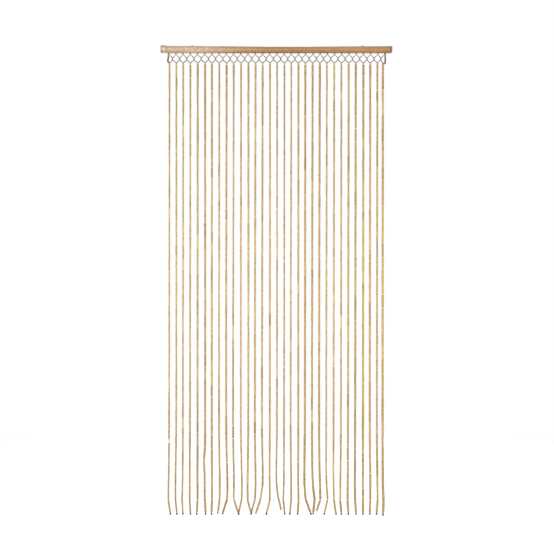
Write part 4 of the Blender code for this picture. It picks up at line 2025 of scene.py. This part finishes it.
@dataclass(frozen=True)
class Studio:
    """A plain white studio with soft light and a camera that looks straight at the curtain."""

    floor_finish: StudioWhite
    middle: tuple[float, float] = (2.4 * MM, -958.6 * MM)
    view_width: float = 2.338
    lens: float = 110.0
    sensor: float = 36.0
    far_end: float = 60.0
    floor_height: float = -2.06
    floor_size: float = 9.0
    sky: float = 0.36
    sky_colour: Colour = (1.0, 1.0, 1.0, 1.0)
    lights: tuple[SoftLight, ...] = (
        SoftLight("Key light", (-1.9, -4.1, 0.6), (0.0, 0.0, -0.9), 2.4, 2.4, 92.0),
        SoftLight("Fill light", (2.6, -3.6, -0.3), (0.0, 0.0, -1.0), 2.0, 2.6, 26.0),
        SoftLight("Back light", (1.6, 3.4, 0.9), (0.0, 0.0, -0.8), 2.4, 2.4, 50.0),
        SoftLight("Top light", (0.3, -1.1, 2.2), (0.0, 0.0, 0.0), 2.4, 1.2, 20.0),
    )

    def camera(self) -> None:
        """Makes the camera, level with the picture's middle."""
        data = bpy.data.cameras.new("Camera")
        data.lens = self.lens
        data.sensor_width = self.sensor
        data.clip_end = self.far_end
        camera = new_object("Camera", data)
        distance = self.view_width * self.lens / self.sensor
        camera.location = (self.middle[0], CURTAIN_PLANE - distance, self.middle[1])
        camera.rotation_euler = (math.pi / 2, 0.0, 0.0)
        bpy.context.scene.camera = camera

    def world(self) -> None:
        """Makes the white surroundings, which light the curtain less than they show."""
        world = bpy.data.worlds.new("Studio")
        world.use_nodes = True
        bpy.context.scene.world = world
        graph = ShaderGraph(world.node_tree)
        seen = graph.node("ShaderNodeLightPath", output="Is Camera Ray")
        sockets = {"Color": self.sky_colour, "Strength": self.sky + seen * (1 - self.sky)}
        shader = graph.node("ShaderNodeBackground", inputs=sockets)
        graph.node("ShaderNodeOutputWorld", inputs={"Surface": shader}, output=None)

    def floor(self) -> None:
        """Makes the floor."""
        half = self.floor_size / 2
        mesh = bpy.data.meshes.new("floor")
        rework(mesh, lambda bm: bmesh.ops.create_grid(bm, x_segments=1, y_segments=1, size=half))
        mesh.materials.append(self.floor_finish.material())
        floor = new_object("floor", mesh)
        floor.location.z = self.floor_height

    def build(self) -> None:
        """Makes the camera, the surroundings, the floor and the lights."""
        bpy.context.scene.view_settings.view_transform = "Standard"
        self.camera()
        self.world()
        self.floor()
        for light in self.lights:
            light.build()


def main() -> None:
    """Builds the studio and the curtain's pieces in order."""
    logging.basicConfig(level=logging.INFO, format="%(name)s: %(message)s")
    Studio(StudioWhite()).build()
    steel = DullSteel()
    hangers = (
        HangerPlate(Side.LEFT, -356.5 * MM, 16.65 * MM, steel),
        HangerPlate(Side.RIGHT, 363.0 * MM, 15.5 * MM, steel),
    )
    twine = PlantTwine()
    bamboo = TubeBamboo()
    parts = [Rail(RailBamboo(), hangers), *hangers, Net(twine), StringTwine(twine)]
    for first in range(0, len(STRINGS), 2):
        parts.append(TubeStrings(first, min(first + 1, len(STRINGS) - 1), bamboo))
    for part in parts:
        for piece in part.build():
            log.info("%s: %d faces", piece.name, len(piece.data.polygons))


if __name__ == "__main__":
    main()
